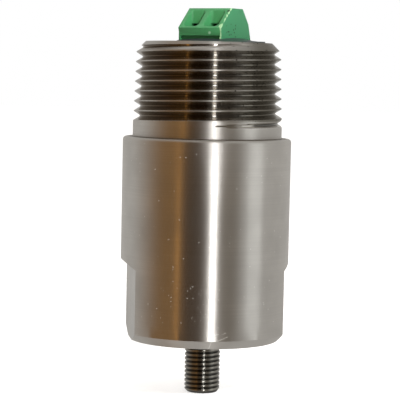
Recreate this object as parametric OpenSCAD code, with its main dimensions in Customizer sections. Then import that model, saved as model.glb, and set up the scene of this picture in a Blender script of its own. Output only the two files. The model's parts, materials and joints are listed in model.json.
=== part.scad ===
// Loop-powered vibration sensor with a threaded conduit neck and a two-pole screw terminal.
// The axis is Z, the seating face lies at Z = 0 and the mounting stud points down.

/* [Housing] */
// Diameter of the round body
body_d = 38.1; // [36:0.1:44]
// Height of the body from seating face to shoulder
body_h = 45.7; // [44:0.1:56]
// Bevel round the seating face
base_chamfer = 2; // [0.5:0.1:2.4]
// Bevel round the shoulder
shoulder_chamfer = 0.8; // [0.2:0.1:1.5]
// Thickness of the solid base under the sensing element
base_t = 14; // [13.5:0.1:18]
// Bore of the chamber for the element and the boards
chamber_d = 24; // [23.4:0.1:24.6]
// Width of the ledge that carries the terminal board
ledge_w = 0.7; // [0.4:0.1:0.9]

/* [Wrench flats] */
// Distance across the two flats
flats_af = 33.5; // [31:0.1:36]
// Height of the flats at their middle
flats_h = 18; // [12:0.1:26]
// Radius of the cutter that leaves the arched end
cutter_r = 25; // [16:0.5:40]
// Angle of the flats about the axis
flats_turn = 8.6; // [-45:0.1:45]

/* [Conduit thread] */
// Diameter of the plain neck under the thread
neck_d = 33.7; // [33.7:0.1:35]
// Height of the neck from shoulder to rim
neck_h = 21.4; // [20.5:0.1:27]
// Length of the plain neck
plain_h = 2.95; // [2:0.05:5]
// Crest diameter at the lower end of the thread
crest_d = 33.6; // [32.6:0.05:33.6]
// Distance from one crest to the next
thread_pitch = 2.209; // [1.6:0.001:2.6]
// Depth from crest to root
thread_depth = 1.4; // [1:0.05:1.7]
// Length over which the diameter drops by one
taper_run = 16; // [12:1:30]
// Bevel at the rim
rim_chamfer = 2; // [1:0.1:2.2]
// Angle round the axis where the thread starts
thread_start = 93; // [0:1:359]

/* [Mounting stud] */
// Thread diameter of the stud
stud_d = 8; // [6:0.5:10]
// Length of the stud below the seating face
stud_reach = 12.3; // [8:0.1:20]
// Length of the stud inside the base
stud_grip = 7; // [5:0.5:7.5]
// Bevel at each end of the stud
stud_chamfer = 0.6; // [0.3:0.1:1.2]
// Height of the thread relief under the seating face
relief_h = 0.8; // [0.4:0.1:1.5]
// Depth of the thread relief
relief_depth = 0.4; // [0.2:0.05:0.7]
// Countersink at the mouth of the stud's hole
countersink = 0.5; // [0.2:0.1:1]

/* [Sensing element] */
// Diameter of the ceramic insulator
insulator_d = 16; // [15.5:0.1:17]
// Thickness of the ceramic insulator
insulator_h = 1.2; // [0.8:0.1:2]
// Thickness of each electrode
electrode_t = 0.3; // [0.2:0.05:0.5]
// Diameter of the piezo rings
ring_d = 15; // [12:0.1:15.4]
// Hole in the piezo rings and electrodes
ring_bore = 6; // [5.6:0.1:7]
// Height of each piezo ring
ring_h = 2.5; // [1.5:0.1:3]
// Diameter of the seismic mass
mass_d = 18; // [16:0.1:18.2]
// Height of the seismic mass
mass_h = 8; // [5:0.1:9]
// Gap between a lead and the pieces beside it
lead_gap = 0.45; // [0.3:0.05:0.5]
// Diameter of the leads
lead_d = 0.6; // [0.4:0.05:0.7]
// Width of the electrode tabs
tab_w = 2; // [1.2:0.1:3]

/* [Preload bolt] */
// Thread diameter of the bolt
bolt_d = 4; // [3:0.5:4]
// Diameter of the bolt head
bolt_head_d = 7; // [6:0.1:8]
// Height of the bolt head
bolt_head_h = 3.2; // [2.5:0.1:4]
// Length of the bolt inside the base
bolt_grip = 5.5; // [4:0.1:6]
// Size of the hexagon socket
bolt_key = 3; // [2:0.5:3]
// Wall of the insulating bush
bush_wall = 0.45; // [0.3:0.05:0.6]
// Diameter of the flange of the bush
flange_d = 9; // [8:0.1:11]
// Thickness of the flange of the bush
flange_h = 1; // [0.6:0.1:1.6]
// Height of the conical spring washer
washer_h = 0.7; // [0.5:0.05:1]
// Sheet thickness of the spring washer
washer_t = 0.4; // [0.2:0.05:0.45]

/* [Shield can] */
// Gap between the can and the chamber wall
can_gap = 1; // [0.8:0.05:1.1]
// Sheet thickness of the can
can_wall = 0.4; // [0.3:0.05:0.5]
// Room over the preload bolt
can_headroom = 3; // [1:0.1:4]

/* [Boards] */
// Thickness of both circuit boards
board_t = 1.6; // [1:0.1:2]
// Height of the standoffs under the signal board
standoff_h = 6; // [4:0.1:8]
// Size of the hexagon standoffs across their flats
standoff_af = 4; // [3.5:0.1:5]
// Circle on which the standoffs stand
standoff_pcd = 15; // [13:0.1:16]
// Thread diameter of the board screws
board_screw_d = 2.5; // [2:0.1:2.6]
// Diameter of the board screw heads
board_head_d = 4.5; // [4:0.1:5]
// Height of the board screw heads
board_head_h = 1.8; // [1.2:0.1:2.2]
// Width of the square link pins
link_w = 0.64; // [0.4:0.02:0.7]
// Spacing of the link pins
link_pitch = 2.54; // [2:0.02:2.54]
// Distance of the link pins from the axis
link_y = 9.4; // [9:0.1:9.6]

/* [Potting] */
// Depth of the potting under the rim
potting_h = 6.1; // [4:0.1:7]
// Height of the potting's crown above the rim
potting_crown = 0.85; // [0.2:0.05:1.2]
// Radius of the potting's domed surface
potting_dome_r = 70; // [60:1:120]
// Sideways place of the crown
potting_shift = 3; // [-3:0.1:4]

/* [Terminal block] */
// Spacing of the two poles
pole_pitch = 5.08; // [5.08:0.01:5.2]
// Length of the block
block_w = 10.8; // [10.6:0.05:11.4]
// Depth of the block at its base
block_d = 14; // [13:0.1:14.4]
// Angle of the block about the axis
block_turn = -30; // [-60:1:60]
// Sideways place of the block on its board
block_shift = 1.2; // [-2:0.1:2]
// Height of the front wall above the rim
front_h = 3.1; // [2.6:0.1:3.6]
// Overhang of the lip along the front wall
lip_out = 0.3; // [0.1:0.05:0.4]
// Height over which the lip leans back to the wall
lip_h = 0.85; // [0.4:0.05:1]
// Depth of the sloped front
slope_run = 4.8; // [4.4:0.1:5]
// Height of the sloped front
slope_rise = 4.5; // [4.4:0.1:5]
// Depth of the flat top
top_run = 5.3; // [5:0.1:5.5]
// Depth of the sloped back
back_run = 2.8; // [2:0.1:3]
// Drop of the sloped back
back_drop = 3.35; // [2.5:0.05:4]
// Width of the scoop at each wire entry
scoop_w = 3.8; // [3.4:0.1:4]
// Depth of the scoop, square to the slope
scoop_depth = 2.6; // [1.8:0.1:2.6]
// Radius of the scoop's lower corners
scoop_corner = 1; // [0.6:0.1:1.6]
// Bare slope below the scoop
scoop_sill = 0.5; // [0.4:0.05:0.8]
// Bare slope above the scoop
scoop_top = 0.8; // [0.6:0.05:1.2]
// Diameter of the wire entry
wire_d = 2.3; // [1.8:0.1:2.4]
// Distance of the wire entry from the scoop's lower end
wire_gap = 0.25; // [0.1:0.05:0.3]
// Height of the recess under the front wall, above the potting
toe_h = 0.55; // [0.2:0.05:0.8]
// Depth of that recess
toe_depth = 1; // [0.5:0.1:1.4]
// Wall left at each end of that recess
toe_end = 0.4; // [0.3:0.1:1]

/* [Wire clamps] */
// Thread diameter of the clamp screw
clamp_d = 2.5; // [2:0.1:2.6]
// Diameter of the clamp screw head
clamp_head_d = 3.6; // [3.4:0.1:3.8]
// Height of the clamp screw head
clamp_head_h = 1.3; // [1:0.1:1.4]
// Depth of the screw head under the block's top
clamp_sunk = 0.65; // [0.3:0.05:0.8]
// Width of the driver slot
driver_slot_w = 0.6; // [0.4:0.05:0.8]
// Depth of the driver slot
driver_slot_h = 0.7; // [0.4:0.05:0.8]
// Thickness of the ledge that holds the screw head
clamp_ledge = 0.75; // [0.5:0.05:0.9]
// Travel of the clamp cage
cage_travel = 1.6; // [1.2:0.1:1.7]
// Width of the cage
cage_w = 3.8; // [3.6:0.05:3.85]
// Thickness of the cage's sides
cage_side = 0.5; // [0.4:0.05:0.55]
// Thickness of the cage's threaded top
cage_top = 1.2; // [1:0.1:1.3]
// Thickness of the cage's floor
cage_floor = 0.8; // [0.6:0.1:1]
// Thickness of the contact strip
contact_t = 0.8; // [0.6:0.05:0.9]
// Width of the contact strip
contact_w = 2.5; // [2:0.05:2.5]
// Width of the solder pin
pin_w = 1; // [0.8:0.05:1.1]
// Length of the solder pin below its board
pin_reach = 1; // [0.6:0.1:2]

/* [Fits] */
// Gap between a screw or stud and its hole
thread_gap = 0.05; // [0.02:0.01:0.06]
// Gap round a piece that drops into place
drop_gap = 0.15; // [0.1:0.01:0.15]
// Gap between faces that turn or slide on each other
slide_gap = 0.1; // [0.05:0.01:0.12]
// Gap round the set potting
potting_gap = 0.05; // [0.03:0.01:0.08]
// Gap between a board's edge and its bore
board_gap = 0.3; // [0.2:0.05:0.4]

/* [Hidden] */
$fn = 96;

// A little extra so that cuts pass clean through
cut = 1;

// Colours
steel = [0.66, 0.64, 0.61];
dark_steel = [0.20, 0.19, 0.18];
white_ceramic = [0.90, 0.88, 0.82];
piezo_grey = [0.62, 0.58, 0.48];
brass = [0.78, 0.62, 0.30];
tungsten = [0.40, 0.40, 0.42];
ptfe = [0.93, 0.93, 0.91];
tin = [0.75, 0.75, 0.74];
board_green = [0.10, 0.34, 0.20];
chip_black = [0.12, 0.12, 0.13];
slate = [0.22, 0.24, 0.25];
block_green = [0.29, 0.62, 0.41];

// Heights of the housing
rim_z = body_h + neck_h;
thread_z = body_h + plain_h;
mouth_d = chamber_d + 2 * ledge_w;
terminal_z = rim_z - potting_h;
ledge_z = terminal_z - board_t;

// Conduit thread: the ridge has straight flanks and is sunk a little into the core
thread_steps = 36;
ridge_sink = 0.15;
root_flat = 0.09;
runout_turns = 0.35;
thread_turns = (neck_h + thread_pitch) / thread_pitch;
function crest_r(z) = crest_d / 2 - (z - thread_z) / (2 * taper_run);
function root_r(z) = crest_r(z) - thread_depth;

// Heights of the sensing element, from the base upward
insulator_z = base_t;
return_z = insulator_z + insulator_h;
lower_ring_z = return_z + electrode_t;
signal_z = lower_ring_z + ring_h;
upper_ring_z = signal_z + electrode_t;
mass_z = upper_ring_z + ring_h;
flange_z = mass_z + mass_h;
washer_z = flange_z + flange_h;
bolt_head_z = washer_z + washer_h;
bolt_top_z = bolt_head_z + bolt_head_h;
bush_bore_d = bolt_d + 2 * thread_gap;
bush_d = bush_bore_d + 2 * bush_wall;
lead_x = chamber_d / 2 - can_gap - can_wall - lead_gap - lead_d / 2;
lead_slot_w = lead_d + 2 * lead_gap;
lead_hole_d = lead_d + 4 * slide_gap;

// Heights of the can and the boards
can_top_z = bolt_top_z + can_headroom + can_wall;
can_d = chamber_d - 2 * can_gap;
signal_board_z = can_top_z + standoff_h;
signal_board_top = signal_board_z + board_t;
standoff_angles = [90, 210, 330];
standoff_bore_h = standoff_h - 1;
board_screw_grip = standoff_bore_h - 1;
link_hole_d = link_w * sqrt(2) + slide_gap;
link_count = 4;

// Components on the signal board: place, then width, depth and height
components = [
    [[-5, 2.2], [5, 4, 1.5]],
    [[5, 2.2], [5, 4, 1.5]],
    [[0, 1.8], [4, 4, 2.8]],
    [[0, -2.6], [3.5, 2.8, 1.9]],
    [[-6.2, 6.3], [3.5, 2.8, 1.9]],
    [[6.2, 6.3], [3.5, 2.8, 1.9]]
];

// Terminal block: its own frame has X along the poles and its front at minus Y
pole_x = pole_pitch / 2;
block_front = -block_d / 2;
block_top_z = rim_z + front_h + slope_rise;
slope_z = rim_z + front_h;
slope_angle = atan(slope_rise / slope_run);
slope_length = sqrt(slope_run * slope_run + slope_rise * slope_rise);
back_y = block_front + slope_run + top_run;
scoop_back = block_front + slope_run - scoop_top * cos(slope_angle);
wire_run = scoop_sill + wire_gap + wire_d / 2;
toe_z = rim_z + potting_crown + toe_h;

// Clamps, from the block's top downward
clamp_y = block_front + slope_run + top_run / 2;
head_z = block_top_z - clamp_sunk - clamp_head_h;
ledge_top_z = head_z - slide_gap / 2;
cell_top_z = ledge_top_z - clamp_ledge;
cage_top_z = cell_top_z - slide_gap - cage_travel;
contact_top_z = cage_top_z - cage_top - slide_gap;
contact_z = contact_top_z - contact_t;
cage_floor_z = contact_z - slide_gap - cage_travel - cage_floor;
cell_w = cage_w + 2 * drop_gap;
contact_back = clamp_y + cell_w / 2 + contact_t + 2 * drop_gap;
pin_y = contact_back - contact_t / 2;
pin_hole_d = sqrt(pin_w * pin_w + contact_t * contact_t) + 2 * slide_gap;

module tube(od, id, h) {
    difference() {
        cylinder(d = od, h = h);
        translate([0, 0, -cut]) cylinder(d = id, h = h + 2 * cut);
    }
}

// One section of the thread ridge, turned and lifted along the helix
function ridge_section(i) =
    let (
        turn = 360 * i / thread_steps,
        z = thread_z - thread_pitch + thread_pitch * i / thread_steps,
        foot = root_r(z) - ridge_sink,
        tip = foot + (thread_pitch - root_flat) / 2 / tan(30),
        half = (thread_pitch - root_flat) / 2
    )
    [for (p = [[foot, -half], [tip, -cut / 40], [tip, cut / 40], [foot, half]])
        [p[0] * cos(turn), p[0] * sin(turn), z + p[1]]];

module thread_ridge() {
    last = floor(thread_turns * thread_steps);
    points = [for (i = [0 : last]) each ridge_section(i)];
    sides = [for (i = [0 : last - 1]) for (k = [0 : 3])
        let (a = 4 * i + k, b = 4 * i + (k + 1) % 4)
        each [[a, b, b + 4], [a, b + 4, a + 4]]];
    end = 4 * last;
    polyhedron(points, concat(sides, [[3, 2, 1, 0], [end, end + 1, end + 2, end + 3]]));
}

// Outer form of the neck: plain ring, tapered crests and the bevel at the rim
module neck_envelope() {
    bevel_z = rim_z - rim_chamfer;
    rotate_extrude()
        polygon([
            [0, body_h - cut], [neck_d / 2, body_h - cut], [neck_d / 2, thread_z],
            [crest_r(thread_z), thread_z], [crest_r(bevel_z), bevel_z],
            [crest_r(bevel_z) - rim_chamfer, rim_z], [0, rim_z]
        ]);
}

// Core of the neck at the root of the thread, rising to the plain ring at the run-out
module neck_core() {
    runout_z = thread_z + runout_turns * thread_pitch;
    rotate_extrude()
        polygon([
            [0, body_h - cut], [neck_d / 2, body_h - cut], [neck_d / 2, thread_z],
            [root_r(runout_z), runout_z], [root_r(rim_z), rim_z], [0, rim_z]
        ]);
}

module turned_body() {
    r = body_d / 2;
    rotate_extrude()
        polygon([
            [0, 0], [r - base_chamfer, 0], [r, base_chamfer], [r, body_h - shoulder_chamfer],
            [r - shoulder_chamfer, body_h], [0, body_h]
        ]);
}

module wrench_flat_cut() {
    translate([flats_af / 2, 0, flats_h - cutter_r])
        rotate([0, 90, 0])
            cylinder(r = cutter_r, h = body_d);
}

// Tapped hole for the stud, drilled a little past it, with a countersunk mouth
module stud_hole() {
    r = stud_d / 2 + thread_gap;
    rotate_extrude()
        polygon([
            [0, -cut], [r + countersink + cut, -cut], [r, countersink],
            [r, stud_grip + slide_gap], [0, stud_grip + slide_gap]
        ]);
}

module housing() {
    color(steel)
    difference() {
        union() {
            turned_body();
            intersection() {
                neck_envelope();
                union() {
                    neck_core();
                    rotate([0, 0, thread_start]) thread_ridge();
                }
            }
        }
        translate([0, 0, base_t]) cylinder(d = chamber_d, h = rim_z);
        translate([0, 0, ledge_z]) cylinder(d = mouth_d, h = rim_z);
        stud_hole();
        translate([0, 0, base_t - bolt_grip]) cylinder(d = bush_bore_d, h = bolt_grip + cut);
        for (side = [0, 180])
            rotate([0, 0, flats_turn + side]) wrench_flat_cut();
    }
}

module mounting_stud() {
    r = stud_d / 2;
    neck_r = r - relief_depth;
    color(dark_steel)
    rotate_extrude()
        polygon([
            [0, -stud_reach], [r - stud_chamfer, -stud_reach], [r, stud_chamfer - stud_reach],
            [r, -relief_h - relief_depth], [neck_r, -relief_h], [neck_r, 0],
            [r, countersink], [r, stud_grip - stud_chamfer], [r - stud_chamfer, stud_grip],
            [0, stud_grip]
        ]);
}

module element_insulator() {
    color(white_ceramic)
    translate([0, 0, insulator_z]) tube(insulator_d, ring_bore, insulator_h);
}

// Thin disc with a tab that reaches out to its lead
module electrode(tab_side) {
    difference() {
        union() {
            cylinder(d = ring_d, h = electrode_t);
            rotate([0, 0, tab_side])
                translate([0, -tab_w / 2, 0])
                    cube([lead_x + lead_d / 2, tab_w, electrode_t]);
        }
        translate([0, 0, -cut]) cylinder(d = ring_bore, h = electrode_t + 2 * cut);
    }
}

module return_electrode() {
    color(brass)
    translate([0, 0, return_z]) electrode(180);
}

module signal_electrode() {
    color(brass)
    translate([0, 0, signal_z]) electrode(0);
}

module piezo_ring(z) {
    color(piezo_grey)
    translate([0, 0, z]) tube(ring_d, ring_bore, ring_h);
}

module piezo_ring_lower() {
    piezo_ring(lower_ring_z);
}

module piezo_ring_upper() {
    piezo_ring(upper_ring_z);
}

// Ring round the bolt, notched where a lead runs closer than its gap
module seismic_mass() {
    color(tungsten)
    translate([0, 0, mass_z])
        difference() {
            tube(mass_d, bush_d + 2 * slide_gap, mass_h);
            for (side = [0, 180])
                rotate([0, 0, side])
                    translate([lead_x - lead_slot_w / 2, -lead_slot_w / 2, -cut])
                        cube([mass_d, lead_slot_w, mass_h + 2 * cut]);
        }
}

module insulating_bush() {
    color(ptfe)
    difference() {
        union() {
            translate([0, 0, insulator_z]) cylinder(d = bush_d, h = washer_z - insulator_z);
            translate([0, 0, flange_z]) cylinder(d = flange_d, h = flange_h);
        }
        translate([0, 0, insulator_z - cut])
            cylinder(d = bush_bore_d, h = washer_z - insulator_z + 2 * cut);
    }
}

module spring_washer() {
    inner = bush_bore_d / 2;
    outer = (bolt_head_d + flange_d) / 4;
    color(steel)
    translate([0, 0, washer_z])
        rotate_extrude()
            polygon([[outer, 0], [outer, washer_t], [inner, washer_h], [inner, washer_h - washer_t]]);
}

module preload_bolt() {
    socket_h = bolt_head_h / 2;
    shank_z = base_t - bolt_grip;
    color(tin)
    difference() {
        union() {
            translate([0, 0, shank_z]) cylinder(d = bolt_d, h = bolt_head_z - shank_z + bolt_head_h / 2);
            translate([0, 0, bolt_head_z]) cylinder(d = bolt_head_d, h = bolt_head_h);
        }
        translate([0, 0, bolt_top_z - socket_h])
            cylinder(d = bolt_key / cos(30), h = socket_h + cut, $fn = 6);
    }
}

// Wire from an electrode tab up to the signal board
module element_lead(side, from_z) {
    color(tin)
    rotate([0, 0, side])
        translate([lead_x, 0, from_z])
            cylinder(d = lead_d, h = signal_board_top - from_z);
}

module signal_lead() {
    element_lead(0, signal_z + electrode_t);
}

module return_lead() {
    element_lead(180, return_z + electrode_t);
}

module shield_can() {
    inside_h = can_top_z - base_t - can_wall;
    color(tin)
    difference() {
        translate([0, 0, base_t]) {
            cylinder(d = can_d, h = inside_h + can_wall);
            cylinder(d = chamber_d - 2 * drop_gap, h = can_wall);
        }
        translate([0, 0, base_t - cut]) cylinder(d = can_d - 2 * can_wall, h = inside_h + cut);
        for (side = [0, 180])
            rotate([0, 0, side])
                translate([lead_x, 0, can_top_z - 2 * can_wall])
                    cylinder(d = lead_hole_d, h = 3 * can_wall);
    }
}

module at_standoffs() {
    for (angle = standoff_angles)
        rotate([0, 0, angle])
            translate([standoff_pcd / 2, 0, 0])
                children();
}

module board_standoffs() {
    color(brass)
    at_standoffs()
        difference() {
            translate([0, 0, can_top_z])
                cylinder(d = standoff_af / cos(30), h = standoff_h, $fn = 6);
            translate([0, 0, signal_board_z - standoff_bore_h])
                cylinder(d = board_screw_d + 2 * thread_gap, h = standoff_h);
        }
}

module standoff_screws() {
    color(tin)
    at_standoffs() {
        translate([0, 0, signal_board_z - board_screw_grip])
            cylinder(d = board_screw_d, h = board_screw_grip + board_t + board_head_h / 2);
        translate([0, 0, signal_board_top])
            difference() {
                cylinder(d = board_head_d, h = board_head_h);
                translate([-board_head_d, -driver_slot_w / 2, board_head_h - driver_slot_h])
                    cube([2 * board_head_d, driver_slot_w, board_head_h]);
            }
    }
}

module at_links() {
    for (i = [0 : link_count - 1])
        translate([(i - (link_count - 1) / 2) * link_pitch, -link_y, 0])
            children();
}

module signal_board() {
    color(board_green)
    difference() {
        translate([0, 0, signal_board_z]) cylinder(d = chamber_d - 2 * board_gap, h = board_t);
        at_standoffs()
            translate([0, 0, signal_board_z - cut])
                cylinder(d = board_screw_d + 2 * slide_gap, h = board_t + 2 * cut);
        at_links()
            translate([0, 0, signal_board_z - cut])
                cylinder(d = link_hole_d, h = board_t + 2 * cut);
        for (side = [0, 180])
            rotate([0, 0, side])
                translate([lead_x, 0, signal_board_z - cut])
                    cylinder(d = lead_d + slide_gap, h = board_t + 2 * cut);
    }
}

module board_components() {
    color(chip_black)
    for (c = components)
        translate([c[0].x - c[1].x / 2, c[0].y - c[1].y / 2, signal_board_top])
            cube(c[1]);
}

module link_pins() {
    tail = board_t;
    color(tin)
    at_links()
        translate([-link_w / 2, -link_w / 2, signal_board_z - tail])
            cube([link_w, link_w, terminal_z - signal_board_z + tail]);
}

// Places a child of the terminal block in the row frame
module on_block() {
    translate([block_shift, 0, 0])
        rotate([0, 0, block_turn])
            children();
}

module terminal_board() {
    color(board_green)
    difference() {
        translate([0, 0, ledge_z]) cylinder(d = mouth_d - 2 * board_gap, h = board_t);
        at_links()
            translate([0, 0, ledge_z - cut])
                cylinder(d = link_hole_d, h = board_t + 2 * cut);
        on_block()
            for (x = [-pole_x, pole_x])
                translate([x, pin_y, ledge_z - cut])
                    cylinder(d = pin_hole_d, h = board_t + 2 * cut);
    }
}

module potting() {
    crown_z = rim_z + potting_crown;
    color(slate)
    difference() {
        intersection() {
            translate([0, 0, terminal_z])
                cylinder(d = mouth_d - 2 * potting_gap, h = potting_h + 2 * potting_crown);
            translate([potting_shift, 0, crown_z - potting_dome_r]) sphere(r = potting_dome_r);
        }
        on_block()
            translate([-block_w / 2 - potting_gap, block_front + lip_out - potting_gap, terminal_z - cut])
                cube([block_w + 2 * potting_gap, block_d - lip_out + 2 * potting_gap, rim_z]);
    }
}

// Side outline of the block: lipped front wall, slope, flat top, sloped back, leaning rear wall
module block_outline() {
    rear_z = block_top_z - back_drop;
    polygon([
        [block_front + lip_out, terminal_z], [block_front + lip_out, slope_z - lip_h],
        [block_front, slope_z],
        [block_front + slope_run, block_top_z], [back_y, block_top_z],
        [back_y + back_run, rear_z], [block_d / 2, rim_z + potting_crown], [block_d / 2, terminal_z]
    ]);
}

// Outline of a scoop on the slope: round at its two lower corners
module scoop_outline() {
    side = scoop_w / 2;
    translate([-side, scoop_sill + scoop_corner])
        square([scoop_w, slope_length - scoop_sill - scoop_corner]);
    translate([scoop_corner - side, scoop_sill])
        square([scoop_w - 2 * scoop_corner, 2 * scoop_corner]);
    for (x = [scoop_corner - side, side - scoop_corner])
        translate([x, scoop_sill + scoop_corner]) circle(r = scoop_corner);
}

// Places its children on the slope, with Z square to it
module on_slope() {
    translate([0, block_front, slope_z])
        rotate([slope_angle, 0, 0])
            children();
}

// Scoop with an upright back wall, and the wire hole in its floor
module wire_entry() {
    intersection() {
        on_slope()
            translate([0, 0, -scoop_depth])
                linear_extrude(height = 2 * scoop_depth)
                    scoop_outline();
        translate([-scoop_w, scoop_back - block_d, terminal_z])
            cube([2 * scoop_w, block_d, block_top_z]);
    }
    on_slope()
        translate([0, wire_run, -slope_length - scoop_depth])
            cylinder(d = wire_d, h = slope_length + scoop_depth / 2);
}

// Cell for one clamp: open below, with the screw hole and the driver hole above
module clamp_cell() {
    leg_w = contact_w + 2 * drop_gap;
    translate([-cell_w / 2, clamp_y - cell_w / 2, terminal_z - cut])
        cube([cell_w, cell_w, cell_top_z - terminal_z + cut]);
    translate([-leg_w / 2, clamp_y, terminal_z - cut])
        cube([leg_w, contact_back + drop_gap - clamp_y, contact_top_z + slide_gap - terminal_z + cut]);
    translate([0, clamp_y, cell_top_z - cut])
        cylinder(d = clamp_d + 2 * slide_gap, h = clamp_ledge + 2 * cut);
    translate([0, clamp_y, ledge_top_z])
        cylinder(d = clamp_head_d + 2 * drop_gap, h = block_top_z);
}

module terminal_housing() {
    color(block_green)
    on_block()
        difference() {
            translate([-block_w / 2, 0, 0])
                rotate([90, 0, 90])
                    linear_extrude(height = block_w)
                        block_outline();
            translate([toe_end - block_w / 2, block_front - cut, terminal_z - cut])
                cube([block_w - 2 * toe_end, lip_out + toe_depth + cut, toe_z - terminal_z + cut]);
            for (x = [-pole_x, pole_x])
                translate([x, 0, 0]) {
                    wire_entry();
                    clamp_cell();
                }
        }
}

// Contact strip through the cage, bent down at the back into its solder pin
module terminal_contact(x) {
    strip_front = clamp_y - cell_w / 2 + drop_gap;
    color(tin)
    on_block()
        translate([x, 0, 0]) {
            translate([-contact_w / 2, strip_front, contact_z])
                cube([contact_w, contact_back - strip_front, contact_t]);
            translate([-contact_w / 2, contact_back - contact_t, terminal_z])
                cube([contact_w, contact_t, contact_top_z - terminal_z]);
            translate([-pin_w / 2, contact_back - contact_t, ledge_z - pin_reach])
                cube([pin_w, contact_t, board_t + pin_reach + cut]);
        }
}

module terminal_contact_left() {
    terminal_contact(-pole_x);
}

module terminal_contact_right() {
    terminal_contact(pole_x);
}

// Rectangular loop whose threaded top climbs the screw and lifts the wire against the strip
module clamp_cage(x) {
    window_h = cage_top_z - cage_top - cage_floor_z - cage_floor;
    color(tin)
    on_block()
        translate([x, clamp_y, 0])
            difference() {
                translate([-cage_w / 2, -cage_w / 2, cage_floor_z])
                    cube([cage_w, cage_w, cage_top_z - cage_floor_z]);
                translate([cage_side - cage_w / 2, -cage_w, cage_floor_z + cage_floor])
                    cube([cage_w - 2 * cage_side, 2 * cage_w, window_h]);
                translate([0, 0, cage_top_z - cage_top - cut / 10])
                    cylinder(d = clamp_d + 2 * thread_gap, h = cage_top + cut);
            }
}

module clamp_cage_left() {
    clamp_cage(-pole_x);
}

module clamp_cage_right() {
    clamp_cage(pole_x);
}

module clamp_screw(x) {
    tip_z = contact_top_z + slide_gap / 2;
    color(steel)
    on_block()
        translate([x, clamp_y, 0])
            difference() {
                union() {
                    translate([0, 0, tip_z]) cylinder(d = clamp_d, h = head_z - tip_z + clamp_head_h / 2);
                    translate([0, 0, head_z]) cylinder(d = clamp_head_d, h = clamp_head_h);
                }
                translate([-clamp_head_d, -driver_slot_w / 2, head_z + clamp_head_h - driver_slot_h])
                    cube([2 * clamp_head_d, driver_slot_w, clamp_head_h]);
            }
}

module clamp_screw_left() {
    clamp_screw(-pole_x);
}

module clamp_screw_right() {
    clamp_screw(pole_x);
}

housing();
mounting_stud();
element_insulator();
return_electrode();
piezo_ring_lower();
signal_electrode();
piezo_ring_upper();
seismic_mass();
insulating_bush();
spring_washer();
preload_bolt();
signal_lead();
return_lead();
shield_can();
board_standoffs();
signal_board();
standoff_screws();
board_components();
link_pins();
terminal_board();
potting();
terminal_housing();
terminal_contact_left();
terminal_contact_right();
clamp_cage_left();
clamp_cage_right();
clamp_screw_left();
clamp_screw_right();
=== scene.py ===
"""Vibration sensor: the looks of the stainless housing, its threads, the terminal block and the stage."""

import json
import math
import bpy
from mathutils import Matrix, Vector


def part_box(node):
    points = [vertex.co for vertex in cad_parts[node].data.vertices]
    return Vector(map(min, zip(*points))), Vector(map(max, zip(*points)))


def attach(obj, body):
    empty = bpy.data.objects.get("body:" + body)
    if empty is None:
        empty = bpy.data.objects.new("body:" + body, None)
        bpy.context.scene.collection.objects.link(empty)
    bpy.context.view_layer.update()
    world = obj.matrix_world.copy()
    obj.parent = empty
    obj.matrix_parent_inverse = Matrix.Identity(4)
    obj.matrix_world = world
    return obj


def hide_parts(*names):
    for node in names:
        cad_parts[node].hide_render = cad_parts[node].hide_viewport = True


bl_info = {
    "name": "Vibration Sensor",
    "version": (1, 0, 0),
    "blender": (4, 2, 0),
    "location": "View3D > Sidebar > Sensor",
    "description": "Builds the visual model of a stud-mounted vibration sensor around its CAD part",
    "category": "Object",
}

import bpy
from bpy.props import FloatProperty, FloatVectorProperty, PointerProperty
from mathutils import Matrix, Vector

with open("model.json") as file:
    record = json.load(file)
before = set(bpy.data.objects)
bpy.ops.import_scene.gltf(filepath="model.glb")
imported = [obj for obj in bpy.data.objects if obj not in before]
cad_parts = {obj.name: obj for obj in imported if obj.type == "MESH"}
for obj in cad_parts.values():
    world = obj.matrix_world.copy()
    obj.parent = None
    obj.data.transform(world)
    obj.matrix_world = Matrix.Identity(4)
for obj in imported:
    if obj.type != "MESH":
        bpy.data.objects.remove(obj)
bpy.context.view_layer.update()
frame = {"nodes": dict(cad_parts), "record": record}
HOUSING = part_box("housing")
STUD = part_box("mounting_stud")
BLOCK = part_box("terminal_housing")
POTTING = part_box("potting")
LEFT_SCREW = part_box("clamp_screw_left")
RIGHT_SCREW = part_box("clamp_screw_right")

MM = 0.001

# Steps round the turned pieces, and rings over the shoulder, along the body and across the potting
HOUSING_STEPS = 192
FLATS_STEPS = 160
POTTING_STEPS = 128
STUD_STEPS = 96
CIRCLE_STEPS = 64
SCREW_STEPS = 40
SHOULDER_RINGS = 6
BODY_RINGS = 5
POTTING_RINGS = 40

# On the housing: start of the swept neck above the shoulder, fillet at its foot, bevel round the mouth and
# height between the body's rings. The edge bevel takes edges that lie EDGE_TOP or more under the shoulder
# and outside the radius EDGE_INNER
NECK_FOOT = 0.5 * MM
FOOT_FILLET = 0.15 * MM
MOUTH_BEVEL = 0.25 * MM
RING_STEP = 8 * MM
EDGE_TOP = 0.05 * MM
EDGE_INNER = 10 * MM

# How far a cutter runs past the face that it opens, and how near two points are when they are welded
OVERCUT = 1.0 * MM
WELD = 0.002 * MM

# Turns of a thread that are swept below its tip; shares of a thread's depth at its rounded corners and flanks
RUN_IN = 1.5
CORNER = 0.03
FLANK = (0.08, 0.50, 0.92)

# Segments in the rounding of edges, of a scoop's corners and of its blends, and the least angle of an edge
EDGE_SEGMENTS = 2
CORNER_SEGMENTS = 8
BLEND_SEGMENTS = 6
EDGE_ANGLE = math.radians(25)
STEEL_EDGE_ANGLE = math.radians(20)

# Angles in degrees up to which the edges of each kind of piece are shaded smooth
STEEL_SMOOTH = 28
SCREW_SMOOTH = 30
MOULD_SMOOTH = 35

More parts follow.
